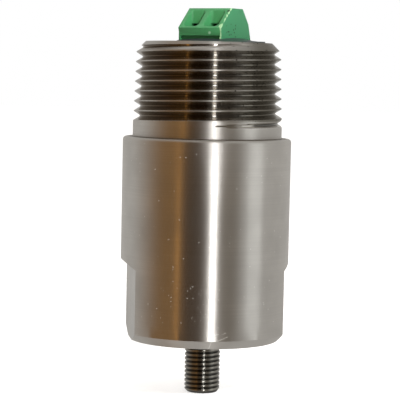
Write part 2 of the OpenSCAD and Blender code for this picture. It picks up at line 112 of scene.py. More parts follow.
# Scratches low on the front of the body, the last one a painted highlight on the base chamfer: sideways place
# and height of both ends, in millimetres
SCRATCHES_AND_GLINT = (
    ((1.9, 2.5), (4.9, 3.9)),
    ((3.3, 2.2), (5.3, 3.0)),
    ((2.2, 3.4), (3.4, 3.6)),
    # A painted highlight on the base chamfer
    ((1.3, 0.2), (1.8, 1.9)),
)

SCRATCH_AND_GLINT_WIDTH = 0.05 * MM

# Where painted shade, dirt and coarse grain start or end on the steel, and how softly: sideways on the
# thread, and up the body
RIGHT_SHADE_FROM = (8 * MM, 5 * MM)
LEFT_SHADE_TO = (-8 * MM, 4 * MM)
DIRT_FROM = (3 * MM, 2 * MM)
COARSE_FROM = (39 * MM, 13 * MM)
# The patch of dents: its two ends and its softness, sideways and in height
DENTS_ACROSS = (-10 * MM, 3 * MM, 2 * MM)
DENTS_UP = (5 * MM, 14 * MM, 3 * MM)
# The painted shade line at the neck's foot: its reach below and above the shoulder, and its softness
FOOT_SHADE = (0.1 * MM, 0.15 * MM, 0.08 * MM)

# Specks: how many cells there are to a unit of length, and their size in a cell
THREAD_DIRT = (1500.0, 0.28)
DENTS = (1700.0, 0.17)
PITS = (900.0, 0.12)
BLOCK_DIRT = (2.2, 0.40)

# Marks on the terminal block, in its own frame in millimetres: two spots, their radius, and the dirty area
SCUFF = (2.5, -6.7, 69.1)
DARK_SPOT = (5.05, -2.9, 74.05)
SPOT_RADIUS = 0.3
DIRTY_DEPTH = (-4.2, 0.2, 0.3)
DIRTY_HEIGHT = (67.0, 71.2, 0.3)
# Painted shade on its sawn end: its colour is darkened and tinted blue against the moulded faces
END_PAINTED_SHADE = (0.74, 0.76, 0.90)

# The studio: its walls, its floor and ceiling, and how steep a direction is where they meet, and how softly
STUDIO_WALL = (0.57, 0.555, 0.53)
STUDIO_ENDS = (0.74, 0.72, 0.69)
STUDIO_STEEP = (0.855, 0.095)
# Each board's first and last azimuth and the softness of its edges, in degrees, and its colour
BOARDS = (
    (-92, -3, 34, (0.26, 0.14, 0.05)),
    (-32, 3, 5, (0.05, 0.023, 0.005)),
    (4, 50, 7, (0.225, 0.195, 0.16)),
)
# The floor's width, its gap under the stud's tip and its glow towards the camera
FLOOR_SIZE = 6.0
FLOOR_GAP = 0.2 * MM
FLOOR_GLOW = 0.68


def length(name, description, default):
    """A length setting in metres, shown in the scene's units."""
    return FloatProperty(
        name=name, description=description, default=default, unit="LENGTH", subtype="DISTANCE", precision=5
    )


def angle(name, description, degrees):
    """An angle setting, given in degrees and stored in radians."""
    return FloatProperty(
        name=name, description=description, default=math.radians(degrees), unit="ROTATION", subtype="ANGLE"
    )


def tone(name, description, colour):
    """A colour setting, in linear values."""
    return FloatVectorProperty(
        name=name, description=description, default=colour, subtype="COLOR", size=3, min=0, max=1
    )


def share(name, description, default):
    """A plain number setting."""
    return FloatProperty(name=name, description=description, default=default)


class HousingSettings(bpy.types.PropertyGroup):
    """Sizes of the turned body below the thread and of the bore"""

    body_radius: length(
        "Body radius", "Radius of the body", min(-HOUSING[0][0], -HOUSING[0][1], HOUSING[1][0])
    )
    shoulder: length("Shoulder height", "Height of the step from body to neck", 45.7 * MM)
    shoulder_round: length("Shoulder rounding", "Radius on the shoulder's outer edge", 0.75 * MM)
    base_chamfer: length("Base chamfer", "Bevel round the seating face", 2.0 * MM)
    edge_break: length("Edge break", "Most that the bevel on the machined edges may take", 0.10 * MM)
    stud_hole_radius: length("Stud hole radius", "Radius of the hole that holds the stud", 4.05 * MM)
    stud_hole_depth: length("Stud hole depth", "Depth of the hole that holds the stud", 7.1 * MM)
    countersink: length("Countersink", "Bevel at the mouth of the stud hole", 0.5 * MM)
    bolt_hole_radius: length("Bolt hole radius", "Radius of the hole under the preload bolt", 2.05 * MM)
    bolt_hole_floor: length("Bolt hole floor", "Height of that hole's floor", 8.5 * MM)
    chamber_floor: length("Chamber floor", "Height of the chamber's floor", 14.0 * MM)
    chamber_radius: length("Chamber radius", "Radius of the chamber", 12.0 * MM)
    mouth_radius: length("Mouth radius", "Radius of the mouth above the board's ledge", 12.7 * MM)
    ledge: length("Ledge", "Height of the ledge for the terminal board", 59.4 * MM)
    flats_half: length("Half across flats", "Distance from the axis to each wrench flat", 16.75 * MM)
    flats_height: length("Flats height", "Height of the flats at their middle", 18.0 * MM)
    flats_cutter: length("Flats cutter", "Radius of the milling cutter that ends the flats", 25.0 * MM)
    flats_turn: angle("Flats turn", "Turn of the flats about the axis", 8.6)


class ThreadSettings(bpy.types.PropertyGroup):
    """Form of the tapered conduit thread"""

    pitch: length("Pitch", "Crest to crest", 2.209 * MM)
    depth: length("Depth", "Crest to root", 1.4 * MM)
    crest_radius: length("Crest radius", "Crest radius at the bottom of the thread", 16.80 * MM)
    taper: share("Taper", "Fall of the radius for each unit of height", 1 / 32)
    bottom: length("Bottom", "Height where the taper is measured", 48.65 * MM)
    root_height: length("Root height", "Height of a root on the +X side", 49.19 * MM)
    fade_height: length("Fade height", "Height where the last groove has faded out", 48.65 * MM)
    neck_radius: length("Neck radius", "Radius of the plain neck", 16.85 * MM)
    runout_turns: share("Run-out", "Turns over which the groove fades out", 0.35)
    rim_chamfer: length("Rim chamfer", "Bevel round the rim", 2.0 * MM)
    crest_flat: length("Crest flat", "Half the width of a crest's flat", 0.10 * MM)
    root_flat: length("Root flat", "Half the width of a root's flat", 0.12 * MM)
    shallow_stain: share("Shallow stain", "Share of the depth that stains a shallow groove fully", 0.3)


class StudSettings(bpy.types.PropertyGroup):
    """Form of the mounting stud"""

    pitch: length("Pitch", "Crest to crest", 1.0 * MM)
    depth: length("Depth", "Crest to root", 0.28 * MM)
    crest_flat: length("Crest flat", "Half the width of a crest's flat", 0.20 * MM)
    root_flat: length("Root flat", "Half the width of a root's flat", 0.10 * MM)
    tip_chamfer: length("Tip chamfer", "Bevel at the tip", 0.6 * MM)
    relief: length("Relief", "Height of the turned relief under the base", 0.4 * MM)
    relief_depth: length("Relief depth", "Depth of that relief", 0.25 * MM)


class BlockSettings(bpy.types.PropertyGroup):
    """Form of the terminal block, in its own frame before it is turned"""

    centre: length("Centre", "Offset of the block from the axis", 1.2 * MM)
    turn: angle("Turn", "Turn of the block about the axis", -30.0)
    width: length("Width", "Width across both poles", 10.8 * MM)
    depth: length("Depth", "Front to back", 14.0 * MM)
    slope_foot: length("Slope foot", "Height where the front slope starts", 70.2 * MM)
    slope_run: length("Slope run", "Depth of the front slope", 4.8 * MM)
    slope_rise: length("Slope rise", "Rise of the front slope", 4.5 * MM)
    top_run: length("Top run", "Depth of the flat top", 5.3 * MM)
    back_run: length("Back run", "Depth of the rear slope", 2.8 * MM)
    back_drop: length("Back drop", "Drop of the rear slope", 3.35 * MM)
    heel_rise: length("Heel rise", "Height above the rim where the rear wall starts to lean", 0.85 * MM)
    lip_out: length("Lip", "How far the lip stands out of the front wall", 0.3 * MM)
    lip_height: length("Lip height", "Height over which the lip leans back", 0.85 * MM)
    pole: length("Pole", "Distance of a pole from the block's middle", 2.54 * MM)
    scoop_width: length("Scoop width", "Width of a wire scoop", 3.8 * MM)
    scoop_depth: length("Scoop depth", "Depth of a scoop, square to the slope", 2.6 * MM)
    scoop_corner: length("Scoop corner", "Radius of a scoop's lower corners", 1.0 * MM)
    scoop_blend: length("Scoop blend", "Radius beside a scoop's back wall", 0.7 * MM)
    scoop_sill: length("Scoop sill", "Plain slope below a scoop", 0.5 * MM)
    scoop_top: length("Scoop top", "Plain slope above a scoop", 0.8 * MM)
    wire_radius: length("Wire hole", "Radius of the wire hole", 1.15 * MM)
    wire_run: length("Wire run", "Distance of the wire hole up the slope", 1.9 * MM)
    window_top: length("Window top", "Height of the opening from a scoop into its clamp's cell", 71.28 * MM)
    window_drop: length("Window drop", "Depth of that opening below the slope's foot", 0.6 * MM)
    window_inset: length("Window inset", "Distance of that opening from the scoop's sides", 0.1 * MM)
    window_front: length("Window front", "Reach of that opening before the scoop's back wall", 0.8 * MM)
    window_back: length("Window back", "Reach of that opening behind the scoop's back wall", 1.25 * MM)
    toe_top: length("Toe top", "Height of the recess under the front wall", 68.5 * MM)
    toe_depth: length("Toe depth", "Depth of that recess", 1.0 * MM)
    toe_end: length("Toe end", "Wall left at each end of that recess", 0.4 * MM)
    driver_radius: length("Driver hole", "Radius of the hole over a clamp screw", 1.95 * MM)
    screw_hole_radius: length("Screw hole", "Radius of the hole for the screw's shank", 1.3 * MM)
    ledge: length("Screw ledge", "Height of the ledge under a screw's head", 72.7 * MM)
    cell_top: length("Cell top", "Height of the roof over a clamp cage", 71.95 * MM)
    cell_half: length("Cell half", "Half the width of a clamp's cell", 2.05 * MM)
    cell_back: length("Cell back", "Extra depth of a cell behind its screw", 0.8 * MM)
    edge_break: length("Edge break", "Most that the rounding of the moulded edges may take", 0.14 * MM)


class PottingSettings(bpy.types.PropertyGroup):
    """Form of the potting's surface"""

    crown: length("Crown", "Height of the dome's crown", 67.95 * MM)
    dome: length("Dome", "Radius of the domed surface", 70.0 * MM)
    dome_shift: length("Dome shift", "Offset of the dome's crown", 3.0 * MM)
    climb: length("Climb", "How far the resin climbs the block", 0.30 * MM)
    climb_reach: length("Climb reach", "How far out that climb is felt", 0.7 * MM)
    wall_climb: length("Wall climb", "How far the resin climbs the mouth's wall", 0.18 * MM)
    wall_reach: length("Wall reach", "How far in that climb is felt", 0.35 * MM)
    wall_gap: length("Wall gap", "Gap left to the mouth's wall", 0.01 * MM)
    gap: length("Gap", "Gap left to the block", 0.03 * MM)


class ScrewSettings(bpy.types.PropertyGroup):
    """Form of the clamp screws"""

    shank_radius: length("Shank radius", "Outer radius of the thread", 1.25 * MM)
    pitch: length("Pitch", "Crest to crest", 0.45 * MM)
    depth: length("Depth", "Crest to root", 0.26 * MM)
    crest_flat: length("Crest flat", "Half the width of a crest's flat", 0.036 * MM)
    root_flat: length("Root flat", "Half the width of a root's flat", 0.045 * MM)
    tip_bevel: length("Tip bevel", "Bevel at the tip", 0.3 * MM)
    head_height: length("Head height", "Height of the head", 1.3 * MM)
    slot_width: length("Slot width", "Width of the driver slot", 0.6 * MM)
    slot_depth: length("Slot depth", "Depth of the driver slot", 0.7 * MM)
    edge_break: length("Edge break", "Rounding of the head", 0.15 * MM)


class FinishSettings(bpy.types.PropertyGroup):
    """Colours of the finishes and of the marks on them"""

    stainless: tone("Stainless", "Turned steel of the housing", (0.62, 0.60, 0.57))
    # Partly oil stain, partly painted shade: the steel is darkened in the thread's grooves
    groove: tone("Groove", "Oil-stained steel in the thread's grooves", (0.46, 0.44, 0.41))
    # Painted shade: the right of the thread is darkened
    right_shade: tone("Grime", "Grime on the right of the thread", (0.15, 0.135, 0.105))
    # Painted shade: the left of the thread is darkened to a warm brown
    left_shade: tone("Soot", "Brown stain on the left of the thread", (0.17, 0.13, 0.09))
    dirt: tone("Dirt", "Specks of dirt on the thread", (0.03, 0.027, 0.02))
    # Painted shade: the dark line in the corner where the neck meets the shoulder
    foot_shade: tone("Foot line", "Dirty line where the neck meets the shoulder", (0.10, 0.075, 0.05))
    # Also the colour of the painted highlight on the base chamfer
    pit_and_glint: tone("Pit", "Pits and scratches in the body", (0.85, 0.83, 0.80))
    stud: tone("Stud", "Dark oiled steel of the stud", (0.32, 0.31, 0.28))
    block: tone("Block", "Green moulding", (0.062, 0.30, 0.115))
    flash: tone("Flash", "Torn flash on the block's edge", (0.38, 0.64, 0.36))
    scuff: tone("Scuff", "Scuff on the block's front wall", (0.33, 0.60, 0.40))
    block_dirt: tone("Block dirt", "Specks of dirt on the block", (0.012, 0.03, 0.012))
    resin: tone("Resin", "Slate potting", (0.035, 0.045, 0.05))


class StageSettings(bpy.types.PropertyGroup):
    """The camera's place"""

    distance: length("Distance", "Distance of the camera from the aim", 386.0 * MM)
    aim_side: length("Aim side", "Sideways offset of the aim", -1.3 * MM)
    aim_height: length("Aim height", "Height of the aim", 31.42 * MM)
    elevation: angle("Elevation", "How far the camera looks down", 4.25)
    roll: angle("Roll", "Roll of the camera", 1.22)
    lens: share("Lens", "Focal length in millimetres on a 36 mm sensor", 153.0)


def object_mode():
    """Leave edit mode, if it is on, and clear the selection."""
    if bpy.context.object and bpy.context.object.mode != "OBJECT":
        bpy.ops.object.mode_set(mode="OBJECT")
    bpy.ops.object.select_all(action="DESELECT")


def pick(piece):
    """Make a piece the only selected and active one."""
    object_mode()
    piece.select_set(True)
    bpy.context.view_layer.objects.active = piece


def named(name):
    """Name the piece that was just made, leave edit mode and return it."""
    if bpy.context.object.mode != "OBJECT":
        bpy.ops.object.mode_set(mode="OBJECT")
    piece = bpy.context.object
    piece.name = name
    piece.data.name = name
    return piece


def face_outwards():
    """In edit mode, turn every face of the piece outwards."""
    bpy.ops.mesh.select_all(action="SELECT")
    bpy.ops.mesh.normals_make_consistent(inside=False)


def turn_profile(name, rings, steps):
    """Turn (radius, height) rings on the lathe: a circle, extruded and scaled ring by ring."""
    object_mode()
    bpy.ops.mesh.primitive_circle_add(vertices=steps, radius=rings[0][0], enter_editmode=True)
    bpy.ops.transform.translate(value=(0, 0, rings[0][1]))
    for (radius, height), (next_radius, next_height) in zip(rings, rings[1:]):
        bpy.ops.mesh.extrude_edges_move(TRANSFORM_OT_translate={"value": (0, 0, next_height - height)})
        if next_radius == 0:
            bpy.ops.mesh.merge(type="CENTER")
        elif next_radius != radius:
            scale = next_radius / radius
            bpy.ops.transform.resize(value=(scale, scale, 1), center_override=(0, 0, next_height))
    return named(name)


def draw_outline(points):
    """In a new mesh in edit mode, draw a line through points by extruding one point."""
    object_mode()
    bpy.ops.mesh.primitive_plane_add(size=MM, enter_editmode=True)
    bpy.ops.mesh.merge(type="CENTER")
    bpy.ops.transform.translate(value=points[0])
    for point, next_point in zip(points, points[1:]):
        step = [b - a for a, b in zip(point, next_point)]
        bpy.ops.mesh.extrude_vertices_move(TRANSFORM_OT_translate={"value": step})


def sweep_thread(name, outline, start, pitch, turns, steps):
    """Sweep one pitch of a thread, (radius, height) points, up a right-handed helix."""
    draw_outline([(radius, 0, start + height) for radius, height in outline])
    piece = named(name)
    pick(piece)
    helix = piece.modifiers.new("Helix", "SCREW")
    helix.axis = "Z"
    helix.angle = math.tau
    helix.screw_offset = pitch
    helix.iterations = turns
    helix.steps = steps
    helix.render_steps = steps
    bpy.ops.object.modifier_apply(modifier=helix.name)
    return piece


def thread_outline(radius, form):
    """One pitch of a thread from root to root, its corners slightly rounded."""
    half = form.pitch / 2
    soft = 0.12 * min(form.root_flat, form.crest_flat) + 0.02 * form.pitch
    flank = half - form.root_flat - form.crest_flat
    rise = [
        (0, 0),
        (0, form.root_flat - soft / 2),
        (CORNER, form.root_flat + soft / 2),
        *((lift, form.root_flat + lift * flank) for lift in FLANK),
        (1 - CORNER, half - form.crest_flat - soft / 2),
        (1, half - form.crest_flat + soft / 2),
        (1, half),
    ]
    fall = [(lift, form.pitch - height) for lift, height in reversed(rise[:-1])]
    return [(radius - form.depth * (1 - lift), height) for lift, height in rise + fall]


def press_shank(piece, tip, top, limit):
    """Press a swept thread between two heights and inside a radius that follows from the height."""
    for vertex in piece.data.vertices:
        x, y, z = vertex.co
        turn = math.atan2(y, x)
        height = min(max(z, tip), top)
        radius = min(math.hypot(x, y), limit(height))
        vertex.co = (radius * math.cos(turn), radius * math.sin(turn), height)


def store_grooves(piece, depth_of):
    """Store how deep each point lies in the thread, from 0 to 1, for the stain in the grooves."""
    groove = piece.data.attributes.new("groove", "FLOAT", "POINT")
    for vertex in piece.data.vertices:
        groove.data[vertex.index].value = min(max(depth_of(vertex.co), 0), 1)


def join_pieces(name, pieces):
    """Join pieces whose rings meet into one closed mesh that faces outwards."""
    object_mode()
    for piece in pieces:
        piece.select_set(True)
    bpy.context.view_layer.objects.active = pieces[0]
    bpy.ops.object.join()
    bpy.ops.object.mode_set(mode="EDIT")
    bpy.ops.mesh.select_all(action="SELECT")
    bpy.ops.mesh.remove_doubles(threshold=WELD)
    face_outwards()
    return named(name)


def close_ends(piece):
    """Cap a piece's open rings and face it outwards."""
    pick(piece)
    bpy.ops.object.mode_set(mode="EDIT")
    bpy.ops.mesh.select_all(action="SELECT")
    bpy.ops.mesh.fill_holes(sides=0)
    face_outwards()
    bpy.ops.object.mode_set(mode="OBJECT")


def weld(piece):
    """Merge the points that a press has left almost in one place."""
    pick(piece)
    bpy.ops.object.mode_set(mode="EDIT")
    bpy.ops.mesh.select_all(action="SELECT")
    bpy.ops.mesh.remove_doubles(threshold=WELD)
    bpy.ops.object.mode_set(mode="OBJECT")


def cut_away(piece, cutter):
    """Cut one piece with another, and remove the cutter."""
    pick(piece)
    cut = piece.modifiers.new("Cut", "BOOLEAN")
    cut.operation = "DIFFERENCE"
    cut.solver = "EXACT"
    cut.object = cutter
    bpy.ops.object.modifier_apply(modifier=cut.name)
    bpy.data.meshes.remove(cutter.data)


def round_edges(piece, width, segments, least_angle):
    """Break every edge sharper than an angle with a small bevel."""
    pick(piece)
    bevel = piece.modifiers.new("Edges", "BEVEL")
    bevel.width = width
    bevel.segments = segments
    bevel.limit_method = "ANGLE"
    bevel.angle_limit = least_angle
    bevel.use_clamp_overlap = True
    bpy.ops.object.modifier_apply(modifier=bevel.name)


def bevel_where(piece, radius, segments, wanted, sharper=None):
    """Round the edges whose two ends both pass a test, all of them or only those sharper than an angle."""
    pick(piece)
    bpy.ops.object.mode_set(mode="EDIT")
    bpy.ops.mesh.select_mode(type="EDGE")
    bpy.ops.mesh.select_all(action="DESELECT")
    if sharper is not None:
        bpy.ops.mesh.edges_select_sharp(sharpness=sharper)
    bpy.ops.object.mode_set(mode="OBJECT")
    points = piece.data.vertices
    for edge in piece.data.edges:
        allowed = sharper is None or edge.select
        edge.select = allowed and all(wanted(points[i].co) for i in edge.vertices)
    bpy.ops.object.mode_set(mode="EDIT")
    bpy.ops.mesh.bevel(offset=radius, segments=segments, clamp_overlap=True)
    bpy.ops.mesh.select_mode(type="VERT")
    bpy.ops.object.mode_set(mode="OBJECT")


def smooth(piece, degrees):
    """Shade a piece smooth up to an angle."""
    pick(piece)
    bpy.ops.object.shade_smooth_by_angle(angle=math.radians(degrees))


def box_cutter(low, high):
    """A block between two corners."""
    object_mode()
    middle = [(a + b) / 2 for a, b in zip(low, high)]
    bpy.ops.mesh.primitive_cube_add(size=1, location=middle, scale=[b - a for a, b in zip(low, high)])
    bpy.ops.object.transform_apply(location=True, rotation=True, scale=True)
    return bpy.context.object


def round_cutter(radius, bottom, top, place=(0, 0), steps=CIRCLE_STEPS):
    """An upright cylinder."""
    object_mode()
    bpy.ops.mesh.primitive_cylinder_add(
        vertices=steps, radius=radius, depth=top - bottom, location=(*place, (bottom + top) / 2)
    )
    bpy.ops.object.transform_apply(location=True, rotation=True, scale=True)
    return bpy.context.object


def extrude_outline(name, outline, width):
    """Draw a side outline of (y, z) points, fill it and extrude it across the width."""
    draw_outline([(-width / 2, *point) for point in outline])
    bpy.ops.mesh.select_all(action="SELECT")
    bpy.ops.mesh.edge_face_add()
    bpy.ops.mesh.extrude_region_move(TRANSFORM_OT_translate={"value": (width, 0, 0)})
    face_outwards()
    return named(name)


def settle(piece, matrix):
    """Turn and move a mesh to its place, leaving its object at the origin."""
    pick(piece)
    piece.matrix_world = matrix
    bpy.ops.object.transform_apply(location=True, rotation=True, scale=True)


def crest_radius(thread, height):
    """Radius of the thread's crest at a height."""
    return thread.crest_radius - (height - thread.bottom) * thread.taper


def neck_skin(thread, height):
    """Outer radius of the neck at a height: the crests, widening to the plain neck at the bottom."""
    plain = 1 - min(max((height - thread.bottom) / thread.pitch, 0), 1)
    crest = crest_radius(thread, height)
    return crest + (thread.neck_radius - crest) * plain


def shape_neck(piece, body, thread):
    """Press a swept thread to the neck: its taper, its run-out and a level ring at both ends."""
    foot = body.shoulder + NECK_FOOT
    top = HOUSING[1][2] + OVERCUT
    for vertex in piece.data.vertices:
        x, y, z = vertex.co
        turn = math.atan2(y, x)
        lift = 1 - (thread.crest_radius - math.hypot(x, y)) / thread.depth
        level = thread.root_height + thread.pitch * turn / math.tau
        root = level + thread.pitch * round((z - level) / thread.pitch)
        fade = min(max((root - thread.fade_height) / (thread.runout_turns * thread.pitch), 0), 1)
        height = min(max(z, foot), top)
        skin = neck_skin(thread, height)
        radius = min(skin, skin - thread.depth * (fade - lift))
        if z > top:
            radius = body.mouth_radius + (MOUTH_BEVEL + OVERCUT)
        vertex.co = (radius * math.cos(turn), radius * math.sin(turn), height)


def neck_groove(point, body, thread):
    """Depth of a point in the neck's thread, as a share of the groove's depth there."""
    radius = math.hypot(point.x, point.y)
    foot = body.shoulder + NECK_FOOT
    if point.z < foot - WELD or radius < body.mouth_radius + 2 * MOUTH_BEVEL:
        return 0
    above_bevel = point.z - HOUSING[1][2] + thread.rim_chamfer
    bevel = crest_radius(thread, HOUSING[1][2] - thread.rim_chamfer) - above_bevel
    skin = neck_skin(thread, point.z)
    shallow = skin > bevel or point.z < thread.bottom + thread.pitch / 2
    reach = thread.depth * (thread.shallow_stain if shallow else 1)
    return (min(skin, bevel) - radius) / reach


def turn_outside(body, thread):
    """The outside from the neck's foot over the shoulder and down the body, with the stud's hole."""
    bend_step = 90 / (SHOULDER_RINGS - 1)
    corner = body.body_radius - body.shoulder_round
    wall = body.shoulder - body.shoulder_round
    rings = [
        (thread.neck_radius, body.shoulder + NECK_FOOT),
        (thread.neck_radius, body.shoulder + FOOT_FILLET),
        (thread.neck_radius + FOOT_FILLET, body.shoulder),
    ]
    for step in range(SHOULDER_RINGS):
        bend = math.radians(bend_step * step)
        out = corner + body.shoulder_round * math.sin(bend)
        rings.append((out, body.shoulder - body.shoulder_round * (1 - math.cos(bend))))
    rings += [
        *((body.body_radius, wall - part * RING_STEP) for part in range(1, BODY_RINGS + 1)),
        (body.body_radius, body.base_chamfer),
        (body.body_radius - body.base_chamfer, 0),
        (body.stud_hole_radius + body.countersink, 0),
        (body.stud_hole_radius, body.countersink),
        (body.stud_hole_radius, body.stud_hole_depth),
        (0, body.stud_hole_depth),
    ]
    return turn_profile("Outside", rings, HOUSING_STEPS)


def turn_inside(body):
    """The mouth, the board's ledge, the chamber and the bolt hole in its floor."""
    rim = HOUSING[1][2]
    rings = [
        (body.mouth_radius + (MOUTH_BEVEL + OVERCUT), rim + OVERCUT),
        (body.mouth_radius, rim - MOUTH_BEVEL),
        (body.mouth_radius, body.ledge),
        (body.chamber_radius, body.ledge),
        (body.chamber_radius, body.chamber_floor),
        (body.bolt_hole_radius, body.chamber_floor),
        (body.bolt_hole_radius, body.bolt_hole_floor),
        (0, body.bolt_hole_floor),
    ]
    return turn_profile("Inside", rings, HOUSING_STEPS)


def facing_cutter(thread):
    """The cutter that faces the rim and bevels it."""
    rim = HOUSING[1][2]
    over = 3 * OVERCUT
    inner = crest_radius(thread, rim - thread.rim_chamfer) - thread.rim_chamfer
    rings = [
        (inner, rim),
        (inner + over, rim - over),
        (inner + 2 * over, rim - over),
        (inner + 2 * over, rim + over),
        (0, rim + over),
    ]
    facing = turn_profile("Facing", rings, HOUSING_STEPS)
    close_ends(facing)
    return facing


def make_housing(body, thread):
    """The turned housing: body, neck with its thread, rim, mouth and chamber, and the milled flats."""
    start = thread.root_height - 3 * thread.pitch
    turns = math.ceil((HOUSING[1][2] - start) / thread.pitch) + 2
    outside = turn_outside(body, thread)
    inside = turn_inside(body)
    outline = thread_outline(thread.crest_radius, thread)
    neck = sweep_thread("Neck", outline, start, thread.pitch, turns, HOUSING_STEPS)
    shape_neck(neck, body, thread)
    housing = join_pieces("turned_housing", [neck, outside, inside])
    cut_away(housing, facing_cutter(thread))

    half_cutter = 10 * OVERCUT
    lay = Matrix.Rotation(math.pi / 2, 4, "Y")
    place = Matrix.Translation((body.flats_half + half_cutter, 0, body.flats_height - body.flats_cutter))
    for side in (0, math.pi):
        cutter = round_cutter(body.flats_cutter, -half_cutter, half_cutter, steps=FLATS_STEPS)
        settle(cutter, Matrix.Rotation(side + body.flats_turn, 4, "Z") @ place @ lay)
        cut_away(housing, cutter)

    def machined(point):
        return point.z <= body.shoulder - EDGE_TOP and math.hypot(point.x, point.y) >= EDGE_INNER

    # The very short edges that the facing cut leaves hold this bevel to no width, so these edges stay sharp
    bevel_where(housing, body.edge_break, EDGE_SEGMENTS, machined, sharper=STEEL_EDGE_ANGLE)
    store_grooves(housing, lambda point: neck_groove(point, body, thread))
    smooth(housing, STEEL_SMOOTH)
    return housing


def make_stud(stud):
    """The mounting stud, with its thread from the base's relief to the bevelled tip and inside the hole."""
    radius = STUD[1][0]
    tip = STUD[0][2]
    top = STUD[1][2]
    start = tip - RUN_IN * stud.pitch
    turns = math.ceil((top - start) / stud.pitch) + 1
    outline = thread_outline(radius, stud)
    piece = sweep_thread("mounting_stud_thread", outline, start, stud.pitch, turns, STUD_STEPS)

    def limit(height):
        bevelled = radius - stud.tip_chamfer + min(height - tip, top - height)
        in_relief = -stud.relief < height < 0
        return min(bevelled, radius - stud.relief_depth) if in_relief else bevelled

    press_shank(piece, tip, top, limit)
    weld(piece)
    close_ends(piece)
    store_grooves(piece, lambda point: (radius - math.hypot(point.x, point.y)) / stud.depth)
    smooth(piece, STEEL_SMOOTH)
    return piece


def scoop_cutters(block, pole):
    """A wire scoop with round lower corners and an upright back wall, its wire hole and its window."""
    pitch_up = math.atan2(block.slope_rise, block.slope_run)
    span = math.hypot(block.slope_rise, block.slope_run)
    half = block.scoop_width / 2
    low = block.scoop_sill
    back = block.slope_run - block.depth / 2 - block.scoop_top * math.cos(pitch_up)
    foot = block.slope_foot
    deep = block.scoop_depth
    near = 0.01 * MM
    over = 10 * OVERCUT
    lean = Matrix.Translation((0, -block.depth / 2, foot)) @ Matrix.Rotation(pitch_up, 4, "X")

    def at_side(point):
        return abs(abs(point.x) - half) < near

    scoop = box_cutter((-half, low, -deep), (half, span, 2 * deep))
    bevel_where(
        scoop, block.scoop_corner, CORNER_SEGMENTS, lambda point: point.y < low + near and at_side(point)
    )
    settle(scoop, lean)
    cut_away(scoop, box_cutter((-over, back, foot - over), (over, back + over, BLOCK[1][2] + over)))
    bevel_where(
        scoop, block.scoop_blend, BLEND_SEGMENTS, lambda point: abs(point.y - back) < near and at_side(point)
    )
    entry = round_cutter(block.wire_radius, -span - deep, -deep / 2, (0, block.wire_run))
    settle(entry, lean)
    window = box_cutter(
        (block.window_inset - half, back - block.window_front, foot - block.window_drop),
        (half - block.window_inset, back + block.window_back, block.window_top),
    )
    for cutter in (scoop, entry, window):
        settle(cutter, Matrix.Translation((pole, 0, 0)))
    return [scoop, entry, window]


def make_block(block):
    """The green terminal block: bevel-cut body, lip, wire scoops, driver holes and open cells below."""
    front = -block.depth / 2
    back = block.depth / 2
    bottom = BLOCK[0][2]
    top = BLOCK[1][2]
    wall = front + block.lip_out
    slope_top = front + block.slope_run
    back_top = slope_top + block.top_run
    outline = [
        (wall, bottom),
        (wall, block.slope_foot - block.lip_height),
        (front, block.slope_foot),
        (slope_top, top),
        (back_top, top),
        (back_top + block.back_run, top - block.back_drop),
        (back, HOUSING[1][2] + block.heel_rise),
        (back, bottom),
    ]
    piece = extrude_outline("terminal_block", outline, block.width)
    end = block.width / 2 - block.toe_end
    toe = box_cutter(
        (-end, front - OVERCUT, bottom - OVERCUT), (end, wall + block.toe_depth, block.toe_top)
    )
    cut_away(piece, toe)
    screw_y = (slope_top + back_top) / 2
    half = block.cell_half
    for pole in (-block.pole, block.pole):
        place = (pole, screw_y)
        cell = box_cutter(
            (pole - half, screw_y - half, bottom - OVERCUT),
            (pole + half, screw_y + half + block.cell_back, block.cell_top),
        )
        driver = round_cutter(block.driver_radius, block.ledge, top + OVERCUT, place)
        shank = round_cutter(block.screw_hole_radius, block.cell_top - OVERCUT, top, place)
        for cutter in (*scoop_cutters(block, pole), driver, shank, cell):
            cut_away(piece, cutter)
    # The short edges that the cuts leave hold this rounding to about 0.002 mm
    round_edges(piece, block.edge_break, EDGE_SEGMENTS, EDGE_ANGLE)
    settle(piece, Matrix.Translation((block.centre, 0, 0)) @ Matrix.Rotation(block.turn, 4, "Z"))
    smooth(piece, MOULD_SMOOTH)
    return piece


def make_potting(potting, block):
    """The set resin in the mouth: a low dome that climbs a little where it meets the block and the wall."""
    radius = POTTING[1][0] - potting.wall_gap
    bottom = POTTING[0][2]
    crown = potting.crown
    rings = [(radius, bottom)]
    rings += [(radius * (1 - part / POTTING_RINGS), crown) for part in range(POTTING_RINGS + 1)]
    piece = turn_profile("potting_surface", rings, POTTING_STEPS)
    into_block = Matrix.Rotation(-block.turn, 4, "Z") @ Matrix.Translation((-block.centre, 0, 0))
    side = block.width / 2
    front = -block.depth / 2
    for vertex in piece.data.vertices:
        x, y, z = vertex.co
        if z < (bottom + crown) / 2:
            continue
        away = (x - potting.dome_shift) ** 2 + y * y
        height = crown - potting.dome + math.sqrt(potting.dome**2 - away)
        near = into_block @ vertex.co
        from_block = math.hypot(max(abs(near.x) - side, 0), max(abs(near.y) + front, 0))
        from_wall = radius - math.hypot(x, y)
        climb = potting.climb * math.exp(-from_block / potting.climb_reach)
        edge = potting.wall_climb * math.exp(-from_wall / potting.wall_reach)
        vertex.co.z = height + climb + edge
    close_ends(piece)
    gap = potting.gap
    window = box_cutter(
        (-side - gap, front - gap + block.lip_out, bottom - OVERCUT),
        (side + gap, gap - front, crown + OVERCUT),
    )
    settle(window, into_block.inverted())
    cut_away(piece, window)
    smooth(piece, MOULD_SMOOTH)
    return piece


